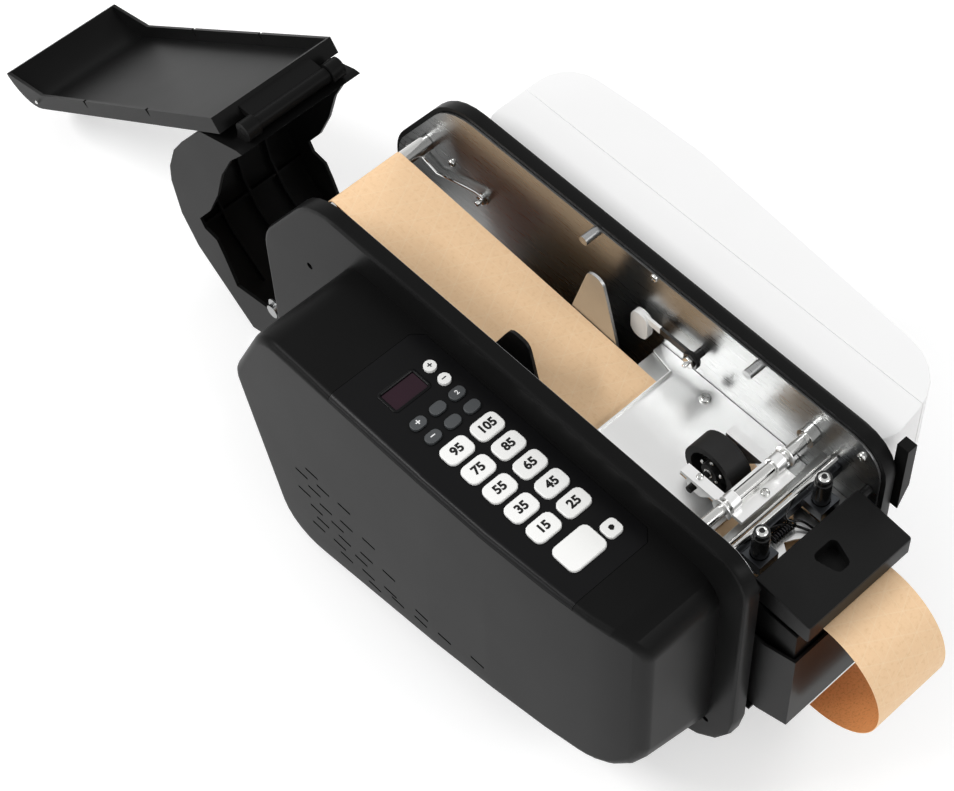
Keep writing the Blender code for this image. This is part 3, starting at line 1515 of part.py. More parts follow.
def plate_fittings(left, right):
    """Hinge stubs of the rear cover, the lid's studs, the stop tab and clearance holes."""
    for side, plate in ((-1, left), (1, right)):
        outer = side * (channel_half + plate_thickness / 2)
        inner = side * (cover_half - cover_wall - clearance)
        join(plate, cylinder(f"hinge_stub_{side}", (outer, cover_hinge_y, cover_hinge_z),
                             (inner, cover_hinge_y, cover_hinge_z), hinge_stub_radius, sides=mid_sides))
    stud_z = frame_top - stud_drop
    for number, y in enumerate(stud_y):
        join(right, cylinder(f"lid_stud_{number}", (channel_half + plate_thickness / 2, y, stud_z),
                             (channel_half - stud_length, y, stud_z), stud_radius, sides=small_sides))
    outer = -(channel_half + plate_thickness)
    tab = filleted(((frame_rear - 2 * stop_tab_half, stop_tab_z - stop_tab_half),
                    (stop_tab_y + stop_tab_half, stop_tab_z - stop_tab_half),
                    (stop_tab_y + stop_tab_half, stop_tab_z + stop_tab_half),
                    (frame_rear - 2 * stop_tab_half, stop_tab_z + stop_tab_half)),
                   (0, stop_tab_half * blunt_share, stop_tab_half * blunt_share, 0))
    skin = plate_thickness / 8
    join(left, outline_solid("stop_tab", tab, outer + skin, outer + plate_thickness - skin))
    join(left, cylinder("stop_head", (outer + plate_thickness / 2, stop_tab_y, stop_tab_z),
                        (outer - stop_head_height, stop_tab_y, stop_tab_z), stop_head_radius,
                        sides=mid_sides))
    start = -(channel_half + plate_thickness + overrun)
    cut(left, cylinder("shaft_hole", (start, wheel_y, roller_z), (-channel_half + overrun, wheel_y, roller_z),
                       axle_radius + clearance, sides=small_sides))


def edge_lever():
    low_x, high_x = lever_x, lever_x + lever_thickness
    arm = ((lever_pivot_y - lever_half, lever_pivot_z - lever_half),
           (lever_tip_y, lever_pivot_z - lever_half),
           (lever_tip_y, lever_pivot_z + lever_half),
           (lever_pivot_y - lever_half, lever_pivot_z + lever_half))
    radius = lever_half * blunt_share
    lever = outline_solid("edge_lever", filleted(arm, (radius,) * 4), low_x, high_x, look=steel)
    paddle = ((lever_tip_y - paddle_half, paddle_low), (lever_tip_y + paddle_half, paddle_low),
              (lever_tip_y + paddle_half, lever_pivot_z + lever_half),
              (lever_tip_y - paddle_half, lever_pivot_z + lever_half))
    join(lever, outline_solid("paddle", filleted(paddle, (paddle_half * full_share,) * 4),
                              low_x - paddle_thickness / 2,
                              high_x + paddle_thickness / 2))
    join(lever, cylinder("lever_bolt", (channel_half - clearance, lever_pivot_y, lever_pivot_z),
                         (low_x - lever_head_height, lever_pivot_y, lever_pivot_z), lever_bolt_radius,
                         sides=small_sides))
    join(lever, cylinder("lever_head", (low_x + lever_thickness / 2, lever_pivot_y, lever_pivot_z),
                         (low_x - lever_head_height, lever_pivot_y, lever_pivot_z), lever_head_radius,
                         sides=6))
    bake(lever)
    return set_origin(lever, (lever_x, lever_pivot_y, lever_pivot_z))


def wire_spring():
    points = [(wire_x, y, z) for y, z in wire_points_yz]
    points += [(wire_x, wire_seat_y, wire_seat_z), (channel_half - clearance, wire_seat_y, wire_seat_z)]
    return tube("wire_spring", points, wire_radius, steel)


left_cover()
right_cover()
left_plate = side_plate("left_side_plate", -1)
right_plate = side_plate("right_side_plate", 1)
plate_fittings(left_plate, right_plate)
keypad()
circuit_board()
power_parts()
base_pan()
tape_roll()
guide("left_roll_guide", -1, left_tab_y, left_tab_half, left_tab_height, black_plastic)
guide("right_roll_guide", 1, right_tab_y, right_tab_half, right_tab_height, steel)
cross_bar("roll_rod", roll_y, roll_z, rod_radius)
cross_bar("rear_bar", bar_y, bar_z, bar_radius)
tape_strip()
feed_plates()
pressure_wheel()
wheel_yoke()
cross_rod()
drive_train()
cutter_parts()
heater_block()
water_parts()
bottle_parts()
bottle_bracket()
rear_cover()
top_lid()
edge_lever()
wire_spring()
for piece in parts.objects:
    piece.data.shade_smooth()
    piece.data.set_sharp_from_angle(angle=math.radians(sharp_degrees))
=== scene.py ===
"""Looks of the gummed-tape dispenser: finishes, the paper, key figures, fasteners and springs."""

import math

import bmesh
import bpy
from mathutils import Matrix, Vector


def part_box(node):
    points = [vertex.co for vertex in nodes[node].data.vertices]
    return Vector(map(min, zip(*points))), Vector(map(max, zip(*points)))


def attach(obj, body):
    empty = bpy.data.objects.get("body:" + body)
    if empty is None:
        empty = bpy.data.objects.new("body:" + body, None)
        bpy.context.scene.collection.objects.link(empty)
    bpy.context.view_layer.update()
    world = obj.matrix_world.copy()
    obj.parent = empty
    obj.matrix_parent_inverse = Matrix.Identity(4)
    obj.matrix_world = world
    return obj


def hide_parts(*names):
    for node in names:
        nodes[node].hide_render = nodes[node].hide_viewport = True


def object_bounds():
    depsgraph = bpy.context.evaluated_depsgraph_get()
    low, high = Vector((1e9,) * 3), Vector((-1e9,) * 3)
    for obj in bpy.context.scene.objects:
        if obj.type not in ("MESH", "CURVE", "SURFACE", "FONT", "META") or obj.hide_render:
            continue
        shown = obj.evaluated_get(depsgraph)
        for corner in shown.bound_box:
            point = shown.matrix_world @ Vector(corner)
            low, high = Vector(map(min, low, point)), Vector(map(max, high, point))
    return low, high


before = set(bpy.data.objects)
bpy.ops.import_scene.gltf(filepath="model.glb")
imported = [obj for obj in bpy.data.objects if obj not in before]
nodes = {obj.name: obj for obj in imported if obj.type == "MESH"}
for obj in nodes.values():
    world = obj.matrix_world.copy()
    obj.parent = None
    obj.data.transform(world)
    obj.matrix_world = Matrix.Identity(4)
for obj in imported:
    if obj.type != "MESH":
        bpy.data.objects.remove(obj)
cad_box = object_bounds()

mm = 0.001
hair = 0.05 * mm
bold = 0.34 * mm

# Sizes
# The same places as in the CAD model, in metres.
plate_inner = 53.2 * mm
rod_place = (-168.0 * mm, 240.5 * mm)
post_places = ((-27.0 * mm, -199.5 * mm), (27.0 * mm, -199.5 * mm))
wheel_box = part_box("pressure_wheel")
hub_face = -3.2 * mm
rivet_circle = 8.0 * mm
rivet_count = 5
lever_pivot = (-73.5 * mm, 228.5 * mm)
lever_face = 44.6 * mm
paddle_line = -44.0 * mm
lid_pin_place = (-52.5 * mm, 527.0 * mm, 54.5 * mm)
display_centre = (-106.5 * mm, 27.9 * mm)
display_size = (26.2 * mm, 14.5 * mm)
display_foot = 239.2 * mm
display_crown = 240.75 * mm
rod_reach = 52.0 * mm
guard_bar_low = (-181.4 * mm, 222.6 * mm)
guard_bar_high = (-175.4 * mm, 224.2 * mm)
web_foot = 213.2 * mm
web_crown = 214.4 * mm
tab_middle = -31.55 * mm
tab_thickness = 2.5 * mm
# Height of the black box that paints the shade in the gap under the heater.
painted_shade_foot = 101.0 * mm
painted_shade_crown = 203.5 * mm
weld_distance = 0.002 * mm

# The tape's line, from the roll round the rear bar to the curled end. Places along it are (y, z).
tape_half = 30.0 * mm
tape_thickness = 0.4 * mm
tape_gap = 0.2 * mm
roll_centre = (45.0 * mm, 112.0 * mm)
roll_radius = 80.0 * mm
bar_centre = (185.0 * mm, 211.2 * mm)
bar_radius = 6.0 * mm
bar_steps = 24
feed_height = 200.3 * mm
feed_start = -60.0 * mm
wheel_line = -136.8 * mm
feed_end = -160.0 * mm
blade_gap = (-206.5 * mm, 205.98 * mm)
curl_centre = (-257.0 * mm, 162.3 * mm)
curl_radius = 49.5 * mm
curl_start = (-257.0 * mm, 211.8 * mm)
curl_end = 271.8
curl_steps = 72


# Materials
def linear(colour):
    """The linear colour for an sRGB hex value such as "#E3BF95"."""
    shares = [int(colour[i:i + 2], 16) / 255 for i in (1, 3, 5)]
    return tuple(s / 12.92 if s <= 0.04045 else ((s + 0.055) / 1.055) ** 2.4 for s in shares) + (1.0,)


def add(tree, kind, settings=None, inputs=None):
    """One shader node with its settings; an input takes a value, or the output that it is linked from."""
    made = tree.nodes.new(kind if "Node" in kind else "ShaderNode" + kind)
    for name, value in (settings or {}).items():
        setattr(made, name, value)
    for name, value in (inputs or {}).items():
        if isinstance(value, bpy.types.NodeSocket):
            tree.links.new(value, made.inputs[name])
        else:
            made.inputs[name].default_value = value
    return made


def begin(name):
    """A new material: its node tree, and the shader that feeds the output."""
    material = bpy.data.materials.new(name)
    material.use_nodes = True
    tree = material.node_tree
    tree.nodes.clear()
    shader = add(tree, "BsdfPrincipled")
    add(tree, "OutputMaterial", inputs={"Surface": shader.outputs["BSDF"]})
    return material, tree, shader


def moulded(name, colour, worn, roughness, specular=0.5, grain=0.7, height=0.012):
    """Injection-moulded plastic. The eroded mould leaves a fine grain that breaks up the highlight.
    The grain is near 0.2 mm on the real part and is drawn coarser, at grain mm, so that it shows."""
    material, tree, shader = begin(name)
    place = add(tree, "TexCoord").outputs["Object"]
    fine = add(tree, "TexNoise", inputs={"Vector": place, "Scale": 1 / (grain * mm), "Detail": 3.0})
    broad = add(tree, "TexNoise", inputs={"Vector": place, "Scale": 1 / (45 * mm), "Detail": 4.0})
    tint = add(tree, "MixRGB", inputs={"Fac": broad.outputs["Fac"], "Color1": linear(colour),
                                       "Color2": linear(worn)})
    gloss = add(tree, "MapRange", inputs={"Value": broad.outputs["Fac"], "From Min": 0.3, "From Max": 0.7,
                                          "To Min": roughness * 0.97, "To Max": roughness * 1.03})
    relief = add(tree, "Bump", inputs={"Strength": 0.5, "Distance": height * mm,
                                       "Height": fine.outputs["Fac"]})
    tree.links.new(tint.outputs["Color"], shader.inputs["Base Color"])
    tree.links.new(gloss.outputs["Result"], shader.inputs["Roughness"])
    tree.links.new(relief.outputs["Normal"], shader.inputs["Normal"])
    shader.inputs["Specular IOR Level"].default_value = specular
    return material


def rolled(name, colour, dull, roughness, run=(1.0, 0.04, 1.0), grain=0.8, height=0.0016):
    """Sheet or bar metal. Rolling or drawing leaves fine lines along the metal, which stretch its
    reflections. The lines are near 0.1 mm apart on the real part and are drawn coarser, at grain mm."""
    material, tree, shader = begin(name)
    place = add(tree, "TexCoord").outputs["Object"]
    along = add(tree, "Mapping", inputs={"Vector": place, "Scale": run})
    lines = add(tree, "TexNoise", inputs={"Vector": along.outputs["Vector"],
                                          "Scale": 1 / (grain * mm), "Detail": 3.0})
    broad = add(tree, "TexNoise", inputs={"Vector": place, "Scale": 1 / (60 * mm), "Detail": 3.0})
    tint = add(tree, "MixRGB", inputs={"Fac": broad.outputs["Fac"], "Color1": linear(colour),
                                       "Color2": linear(dull)})
    gloss = add(tree, "MapRange", inputs={"Value": lines.outputs["Fac"], "From Min": 0.3, "From Max": 0.7,
                                          "To Min": roughness * 0.9, "To Max": roughness * 1.1})
    relief = add(tree, "Bump", inputs={"Strength": 0.3, "Distance": height * mm,
                                       "Height": lines.outputs["Fac"]})
    tree.links.new(tint.outputs["Color"], shader.inputs["Base Color"])
    tree.links.new(gloss.outputs["Result"], shader.inputs["Roughness"])
    tree.links.new(relief.outputs["Normal"], shader.inputs["Normal"])
    shader.inputs["Metallic"].default_value = 1.0
    return material


def tape_paper(name, colour, fibre, speck, thread, roughness, mottle):
    """Reinforced kraft paper: long fibres, darker flecks, and threads laid in between two plies.
    The threads run across the tape every 10 mm and cross it at both slants every 14 mm; the coordinates
    are metres of tape."""
    material, tree, shader = begin(name)
    sheet = add(tree, "TexCoord").outputs["UV"]
    drawn = add(tree, "Mapping", inputs={"Vector": sheet, "Scale": (1.0, 0.25, 1.0)})
    fibres = add(tree, "TexNoise", inputs={"Vector": drawn.outputs["Vector"],
                                           "Scale": 1 / (0.9 * mm), "Detail": 4.0})
    flecks = add(tree, "TexNoise", inputs={"Vector": sheet, "Scale": 1 / (mottle * mm),
                                           "Detail": 5.0, "Roughness": 0.7})
    base = add(tree, "MixRGB", inputs={"Fac": fibres.outputs["Fac"], "Color1": linear(colour),
                                       "Color2": linear(fibre)})
    dark = add(tree, "MapRange", inputs={"Value": flecks.outputs["Fac"], "From Min": 0.5, "From Max": 0.75})
    mixed = add(tree, "MixRGB", inputs={"Fac": dark.outputs["Result"], "Color1": base.outputs["Color"],
                                        "Color2": linear(speck)})
    for slant, gap in ((0.0, 10.0), (math.radians(62), 14.0), (math.radians(-62), 14.0)):
        turned = add(tree, "Mapping", inputs={"Vector": sheet, "Rotation": (0.0, 0.0, slant)})
        wave = add(tree, "TexWave", inputs={"Vector": turned.outputs["Vector"],
                                            "Scale": math.pi / (10 * gap * mm)})
        line = add(tree, "MapRange", inputs={"Value": wave.outputs["Fac"], "From Min": 0.985, "From Max": 1.0,
                                             "To Max": 0.35})
        mixed = add(tree, "MixRGB", inputs={"Fac": line.outputs["Result"], "Color1": mixed.outputs["Color"],
                                            "Color2": linear(thread)})
    relief = add(tree, "Bump", inputs={"Strength": 0.3, "Distance": 0.05 * mm,
                                       "Height": fibres.outputs["Fac"]})
    tree.links.new(mixed.outputs["Color"], shader.inputs["Base Color"])
    tree.links.new(relief.outputs["Normal"], shader.inputs["Normal"])
    shader.inputs["Roughness"].default_value = roughness
    shader.inputs["Specular IOR Level"].default_value = 0.3
    return material


# Satin black ABS of the covers and lid: wide soft highlights on dark walls.
satin_abs = moulded("satin_abs", "#101010", "#131313", 0.36, specular=0.06)
# The printed film over the keypad is smoother than the housing, so it looks a shade deeper.
panel_film = moulded("panel_film", "#0C0C0D", "#0F0F10", 0.3, specular=0.11, grain=1.0, height=0.006)
# Powder coat on the heater, tank, pan and left guide: dull black with a slight orange peel.
powder_coat = moulded("powder_coat", "#0E0E0E", "#131313", 0.42, specular=0.14, grain=1.4, height=0.02)
# Nitrile rubber of the wheel and sleeves: nearly no highlight.
nitrile_rubber = moulded("nitrile_rubber", "#101010", "#161515", 0.6, specular=0.3, grain=0.5)
# Gloss black polyamide of the post sleeves, switch and inlet: small sharp highlights.
gloss_polyamide = moulded("gloss_polyamide", "#0B0B0B", "#101010", 0.22, specular=0.45, grain=0.8,
                          height=0.004)
# Silicone keys: soft off-white, and dark grey for the small oval ones.
white_silicone = moulded("white_silicone", "#EFEFED", "#F5F5F3", 0.5, grain=0.6, height=0.006)
grey_silicone = moulded("grey_silicone", "#3A3C3E", "#424547", 0.5, grain=0.6, height=0.006)
# Printing ink on the keys.
black_ink = moulded("black_ink", "#101010", "#181818", 0.6, specular=0.2)
white_ink = moulded("white_ink", "#E4E4E4", "#F4F4F4", 0.6, specular=0.2)
# White acetal of the roller's gear: smooth and slightly waxy.
white_acetal = moulded("white_acetal", "#E6E6E4", "#F4F4F2", 0.35, grain=0.8, height=0.006)
# Blow-moulded polyethylene of the bottle: milky, with a waxy soft shine.
milky_bottle = moulded("milky_bottle", "#EFEFEF", "#F2F2F2", 0.36, specular=0.3, grain=2.5, height=0.02)
# Smoked acrylic over the display: dark wine red, glossy.
smoked_acrylic = moulded("smoked_acrylic", "#24101B", "#2B1420", 0.12, specular=0.2, grain=6.0, height=0.001)
# Polished stainless side plates: drawn lines along the machine, broad dark and bright reflections.
polished_plate = rolled("polished_plate", "#A9AAAA", "#9B9C9C", 0.29)
# Bright nickel-plated sheet of the upper plate and yoke: nearly white under the lamps.
bright_nickel = rolled("bright_nickel", "#FAFAF9", "#F4F4F3", 0.33, run=(0.05, 1.0, 1.0))
# Turned and plated rods and fasteners: narrow dark and bright streaks.
turned_nickel = rolled("turned_nickel", "#DCDCDA", "#CACAC8", 0.14, run=(0.08, 1.0, 1.0), grain=0.5)
# Grey zinc plating of the guide and brackets.
grey_zinc = rolled("grey_zinc", "#C6C7C6", "#B5B6B5", 0.42, run=(1.0, 0.2, 1.0))
# Blued tool steel of the cutter.
blued_steel = rolled("blued_steel", "#55575A", "#3C3E41", 0.3)
# Cast zinc of the motor and supply box.
cast_zinc = rolled("cast_zinc", "#8F9192", "#7A7C7D", 0.5, run=(1.0, 1.0, 1.0), grain=1.5, height=0.03)
# Glass-epoxy board under the keys.
epoxy_board = moulded("epoxy_board", "#1F5A36", "#2A6B42", 0.35, grain=2.0)
# Nylon bristles of the wetting brush, coloured near black: painted shade for the dark gap under the heater.
bristle_painted_shade = moulded("bristle_painted_shade", "#1B1A18", "#262421", 0.6, grain=0.6, height=0.3)
# The tape's outside is plain kraft, and the gummed inside is darker, glossier and mottled.
kraft_outside = tape_paper("kraft_outside", "#F3CCA0", "#F6D3AA", "#E9C193", "#F8DCB9", 0.6, 3.2)
kraft_gummed = tape_paper("kraft_gummed", "#EE9B5C", "#F3A86C", "#C27A3E", "#F0A66C", 0.4, 1.6)
# The wound roll: matt kraft with an uneven edge.
wound_kraft = moulded("wound_kraft", "#D3A877", "#DDB689", 0.7, grain=1.2, height=0.1)


def dipped_lever():
    """A blackened steel arm whose paddle is dipped in white acetal: the colour changes at one clean line."""
    material = moulded("dipped_lever", "#0F0F0F", "#151515", 0.25)
    tree = material.node_tree
    shader = next(n for n in tree.nodes if n.type == "BSDF_PRINCIPLED")
    black = shader.inputs["Base Color"].links[0].from_socket
    place = add(tree, "SeparateXYZ", inputs={"Vector": add(tree, "TexCoord").outputs["Object"]})
    paddle = add(tree, "MapRange", inputs={"Value": place.outputs["Y"], "From Min": paddle_line - 0.2 * mm,
                                           "From Max": paddle_line + 0.2 * mm})
    tint = add(tree, "MixRGB", inputs={"Fac": paddle.outputs["Result"], "Color1": black,
                                       "Color2": linear("#F6F6F4")})
    tree.links.new(tint.outputs["Color"], shader.inputs["Base Color"])
    return material


lever_finish = dipped_lever()

finishes = {
    satin_abs: ("left_cover", "right_cover", "rear_cover", "top_lid", "bottle_bracket"),
    panel_film: ("keypad_panel",),
    powder_coat: ("left_roll_guide", "heater_block", "water_tank", "base_pan"),
    nitrile_rubber: ("pressure_wheel", "feed_roller", "bottle_valve"),
    gloss_polyamide: ("left_post", "right_post", "power_switch", "power_inlet"),
    white_silicone: ("key_plus", "key_minus", "key_start", "key_cut") + tuple(
        "key_%d" % n for n in (95, 105, 75, 85, 55, 65, 35, 45, 15, 25)),
    grey_silicone: ("key_up", "key_set", "key_double", "key_down", "key_enter", "key_auto"),
    smoked_acrylic: ("display_window",),
    polished_plate: ("left_side_plate", "right_side_plate"),
    bright_nickel: ("upper_plate", "wheel_yoke"),
    turned_nickel: ("cross_rod", "roll_rod", "rear_bar", "wire_spring", "motor_pinion"),
    grey_zinc: ("right_roll_guide", "feed_plate"),
    blued_steel: ("fixed_blade", "moving_blade"),
    cast_zinc: ("drive_motor", "power_supply"),
    white_acetal: ("roller_gear",),
    lever_finish: ("edge_lever",),
    epoxy_board: ("circuit_board",),
    bristle_painted_shade: ("water_brush",),
    milky_bottle: ("water_bottle",),
    wound_kraft: ("tape_roll",),
}
for finish, names in finishes.items():
    for name in names:
        slots = nodes[name].material_slots
        for number in range(len(slots)):
            slots[number].material = finish


def soft_edges(degrees):
    """Modifier nodes that weld a CAD mesh and shade it smooth, and keep the edges sharper than this angle."""
    group = bpy.data.node_groups.new("soft_edges", "GeometryNodeTree")
    for way in ("INPUT", "OUTPUT"):
        group.interface.new_socket("Geometry", in_out=way, socket_type="NodeSocketGeometry")
    came = add(group, "NodeGroupInput").outputs[0]
    bare = add(group, "GeometryNodeRemoveAttribute", inputs={"Geometry": came, "Name": "custom_normal"})
    whole = add(group, "GeometryNodeMergeByDistance", inputs={"Geometry": bare.outputs[0],
                                                              "Distance": weld_distance})
    faces = add(group, "GeometryNodeSetShadeSmooth", {"domain": "FACE"}, {"Geometry": whole.outputs[0]})
    bend = add(group, "GeometryNodeInputMeshEdgeAngle").outputs[0]
    blunt = add(group, "FunctionNodeCompare", {"operation": "LESS_THAN"},
                {"A": bend, "B": math.radians(degrees)})
    edges = add(group, "GeometryNodeSetShadeSmooth", {"domain": "EDGE"},
                {"Geometry": faces.outputs[0], "Shade Smooth": blunt.outputs[0]})
    add(group, "NodeGroupOutput", inputs={0: edges.outputs[0]})
    return group


# Pieces whose edges are broken by hand or by the mould, so that they catch the light.
broken_edges = ("heater_block", "water_tank", "bottle_bracket", "left_roll_guide", "right_roll_guide",
                "upper_plate", "wheel_yoke", "moving_blade", "edge_lever", "left_post", "right_post",
                "rear_cover", "top_lid", "cross_rod", "power_switch", "power_inlet")
shading = soft_edges(32)
for name, node in nodes.items():
    if name in broken_edges:
        weld = node.modifiers.new("weld", "WELD")
        weld.merge_threshold = weld_distance
        broken = node.modifiers.new("broken_edges", "BEVEL")
        broken.width = 0.35 * mm
        broken.segments = 2
        broken.limit_method = "ANGLE"
        broken.angle_limit = math.radians(50)
    node.modifiers.new("shading", "NODES").node_group = shading
    flat = node.modifiers.new("flat_faces", "WEIGHTED_NORMAL")
    flat.keep_sharp = True


# Shaping tools
def piece(name, mesh, finish, body, place=None):
    """A new piece made of a mesh, with its finish and the body that it moves with."""
    made = bpy.data.objects.new(name, mesh)
    bpy.context.scene.collection.objects.link(made)
    if place is not None:
        made.matrix_world = place
    if finish is not None:
        mesh.materials.clear()
        mesh.materials.append(finish)
    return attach(made, body)


def smooth(mesh, degrees=35):
    """Smooth shading that keeps the edges sharper than this angle."""
    mesh.shade_smooth()
    mesh.set_sharp_from_angle(angle=math.radians(degrees))
    return mesh


def facing(point, direction, scale=1.0, turn=0.0):
    """The place of a piece made along +Z: at the point, with +Z turned to the direction."""
    spin = Vector((0, 0, 1)).rotation_difference(Vector(direction)).to_matrix().to_4x4()
    return Matrix.Translation(point) @ spin @ Matrix.Rotation(turn, 4, "Z") @ Matrix.Scale(scale, 4)


def turned(name, profile, sides=40):
    """A turned mesh from (radius, height) pairs, from its foot to its crown."""
    bm = bmesh.new()
    rings = []
    for radius, height in profile:
        angles = [2 * math.pi * i / sides for i in range(sides)]
        rings.append([bm.verts.new((radius * math.cos(a), radius * math.sin(a), height)) for a in angles])
    for low, high in zip(rings, rings[1:]):
        for i in range(sides):
            j = (i + 1) % sides
            bm.faces.new((low[i], low[j], high[j], high[i]))
    bm.faces.new(rings[0][::-1])
    bm.faces.new(rings[-1])
    mesh = bpy.data.meshes.new(name)
    bm.to_mesh(mesh)
    bm.free()
    return smooth(mesh)


def prism(name, outline, low, high, bevel=0.0):
    """A solid on an outline in the XY plane, with its edges rounded by the bevel."""
    bm = bmesh.new()
    foot = [bm.verts.new((x, y, low)) for x, y in outline]
    top = [bm.verts.new((x, y, high)) for x, y in outline]
    count = len(outline)
    for i in range(count):
        j = (i + 1) % count
        bm.faces.new((foot[i], foot[j], top[j], top[i]))
    bm.faces.new(foot[::-1])
    bm.faces.new(top)
    bmesh.ops.recalc_face_normals(bm, faces=bm.faces)
    if bevel:
        rims = [e for e in bm.edges if abs(e.verts[0].co.z - e.verts[1].co.z) < hair / 10]
        bmesh.ops.bevel(bm, geom=rims, offset=bevel, segments=3, profile=0.5, affect="EDGES")
    mesh = bpy.data.meshes.new(name)
    bm.to_mesh(mesh)
    bm.free()
    return smooth(mesh)


def block(name, low, high, bevel):
    """A bar or plate between two corners, with rounded edges."""
    (x0, y0, z0), (x1, y1, z1) = low, high
    return prism(name, ((x0, y0), (x1, y0), (x1, y1), (x0, y1)), z0, z1, bevel)


def rounded(width, depth, radius, steps=6):
    """A rectangle's outline with round corners, about the origin."""
    outline = []
    for corner, (sx, sy) in enumerate(((1, 1), (-1, 1), (-1, -1), (1, -1))):
        for step in range(steps + 1):
            angle = math.pi / 2 * (corner + step / steps)
            outline.append((sx * (width / 2 - radius) + radius * math.cos(angle),
                            sy * (depth / 2 - radius) + radius * math.sin(angle)))
    return outline


def wire(name, points, radius, finish, body, cyclic=False):
    """A bent wire: a smooth curve through the points with a round section."""
    curve = bpy.data.curves.new(name, "CURVE")
    curve.dimensions = "3D"
    curve.bevel_depth = radius
    curve.bevel_resolution = 3
    curve.resolution_u = 8
    curve.use_fill_caps = True
    spline = curve.splines.new("BEZIER")
    spline.bezier_points.add(len(points) - 1)
    for bend, point in zip(spline.bezier_points, points):
        bend.co = point
        bend.handle_left_type = bend.handle_right_type = "AUTO"
    spline.use_cyclic_u = cyclic
    return piece(name, curve, finish, body)


def coil(centre, axis, radius, pitch, turns, steps=12):
    """Points along a helix that starts at the centre and climbs along the axis."""
    spin = Vector((0, 0, 1)).rotation_difference(Vector(axis)).to_matrix()
    points = []
    for step in range(int(turns * steps) + 1):
        angle = 2 * math.pi * step / steps
        local = Vector((radius * math.cos(angle), radius * math.sin(angle), pitch * step / steps))
        points.append(Vector(centre) + spin @ local)
    return points


# Fasteners
def pan_head():
    """A pan-head screw's head with its cross recess, 6 mm across."""
    profile = ((3.0, 0), (3.0, 0.9), (2.7, 1.5), (2.0, 1.95), (1.0, 2.15), (0.2, 2.2))
    head = bpy.data.objects.new("head", turned("pan_head", [(r * mm, z * mm) for r, z in profile]))
    long, short, depth = 1.75 * mm, 0.38 * mm, 1.1 * mm
    cross = ((-short, -long), (short, -long), (short, -short), (long, -short),
             (long, short), (short, short), (short, long), (-short, long),
             (-short, short), (-long, short), (-long, -short), (-short, -short))
    tool = bpy.data.objects.new("tool", prism("cross_tool", cross, depth, 3.0 * mm))
    for made in (head, tool):
        bpy.context.scene.collection.objects.link(made)
    carve = head.modifiers.new("cross", "BOOLEAN")
    carve.object = tool
    carve.solver = "EXACT"
    bpy.context.view_layer.update()
    mesh = bpy.data.meshes.new_from_object(head.evaluated_get(bpy.context.evaluated_depsgraph_get()))
    bpy.data.objects.remove(head)
    bpy.data.objects.remove(tool)
    mesh.name = "pan_head"
    return smooth(mesh)


def hex_nut(width=7.0 * mm, height=3.0 * mm):
    """A hexagon nut with broken edges."""
    radius = width / math.sqrt(3)
    flat = [(radius * math.cos(math.pi / 3 * i), radius * math.sin(math.pi / 3 * i)) for i in range(6)]
    return prism("hex_nut", flat, 0, height, 0.45 * mm)


screw_mesh = pan_head()
nut_mesh = hex_nut()
washer_mesh = turned("washer", [(r * mm, z * mm) for r, z in
                                ((4.6, 0), (4.7, 0.15), (4.7, 0.7), (4.5, 0.85))])
dome_mesh = turned("screw_end", [(r * mm, z * mm) for r, z in
                                 ((2.0, 0), (2.0, 4.2), (1.6, 4.8), (0.4, 5.1))])


def screw(name, point, axis, body="frame", scale=1.0, turn=0.4, finish=turned_nickel, mesh=None):
    """A screw or nut set on a face."""
    place = facing(point, axis, scale, turn)
    return piece(name, (mesh or screw_mesh).copy(), finish, body, place)


inward = (-1, 0, 0)
for name, y, z, turn in (("screw_plate_rear", 161, 210, 0.3), ("screw_plate_top", -30, 264, 0.9),
                         ("screw_plate_front", -206, 254.5, 0.2), ("screw_plate_low", -190.5, 185, 0.6)):
    screw(name, (plate_inner, y * mm, z * mm), inward, turn=turn)

# The spring's seat: a washer, a nut and the stud's end.
seat = Vector((plate_inner, 129.5 * mm, 200 * mm))
screw("spring_washer", seat, inward, mesh=washer_mesh)
screw("spring_nut", seat + Vector((-0.85 * mm, 0, 0)), inward, mesh=nut_mesh)
screw("spring_stud", seat + Vector((-2.9 * mm, 0, 0)), inward, mesh=dome_mesh)

# The lever's pivot: a dark bush, a nut and the stud's end.
pivot = Vector((lever_face, *lever_pivot))
bush = turned("bush", [(r * mm, z * mm) for r, z in ((6.2, 0), (6.4, 0.3), (6.4, 1.2), (5.9, 1.6))])
piece("lever_bush", bush, nitrile_rubber, "lever", facing(pivot, inward))
screw("lever_nut", pivot + Vector((-1.5 * mm, 0, 0)), inward, body="lever", mesh=nut_mesh, scale=1.15)
screw("lever_stud", pivot + Vector((-4.6 * mm, 0, 0)), inward, body="lever", mesh=dome_mesh, scale=0.8)

upward = (0, 0, 1)
screw("screw_upper_plate", (41.9 * mm, -88.9 * mm, 202.5 * mm), upward, scale=1.35)
screw("screw_yoke_front", (1.6 * mm, -176.3 * mm, 236.2 * mm), upward, body="yoke", scale=1.0)
screw("screw_yoke_left", (-18.5 * mm, -141 * mm, 236.2 * mm), upward, body="yoke", scale=0.8)
button = turned("button", [(r * mm, z * mm) for r, z in
                           ((4.4, 0), (4.7, 0.4), (4.6, 1.8), (3.9, 3.1),
                            (2.9, 3.9), (1.9, 4.2), (1.7, 3.0), (0.2, 2.8))])
for name, (x, y) in zip(("post_screw_left", "post_screw_right"), post_places):
    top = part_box("left_post")[1].z
    screw(name, (x, y, top - 3.2 * mm), upward, body="cutter", mesh=button)


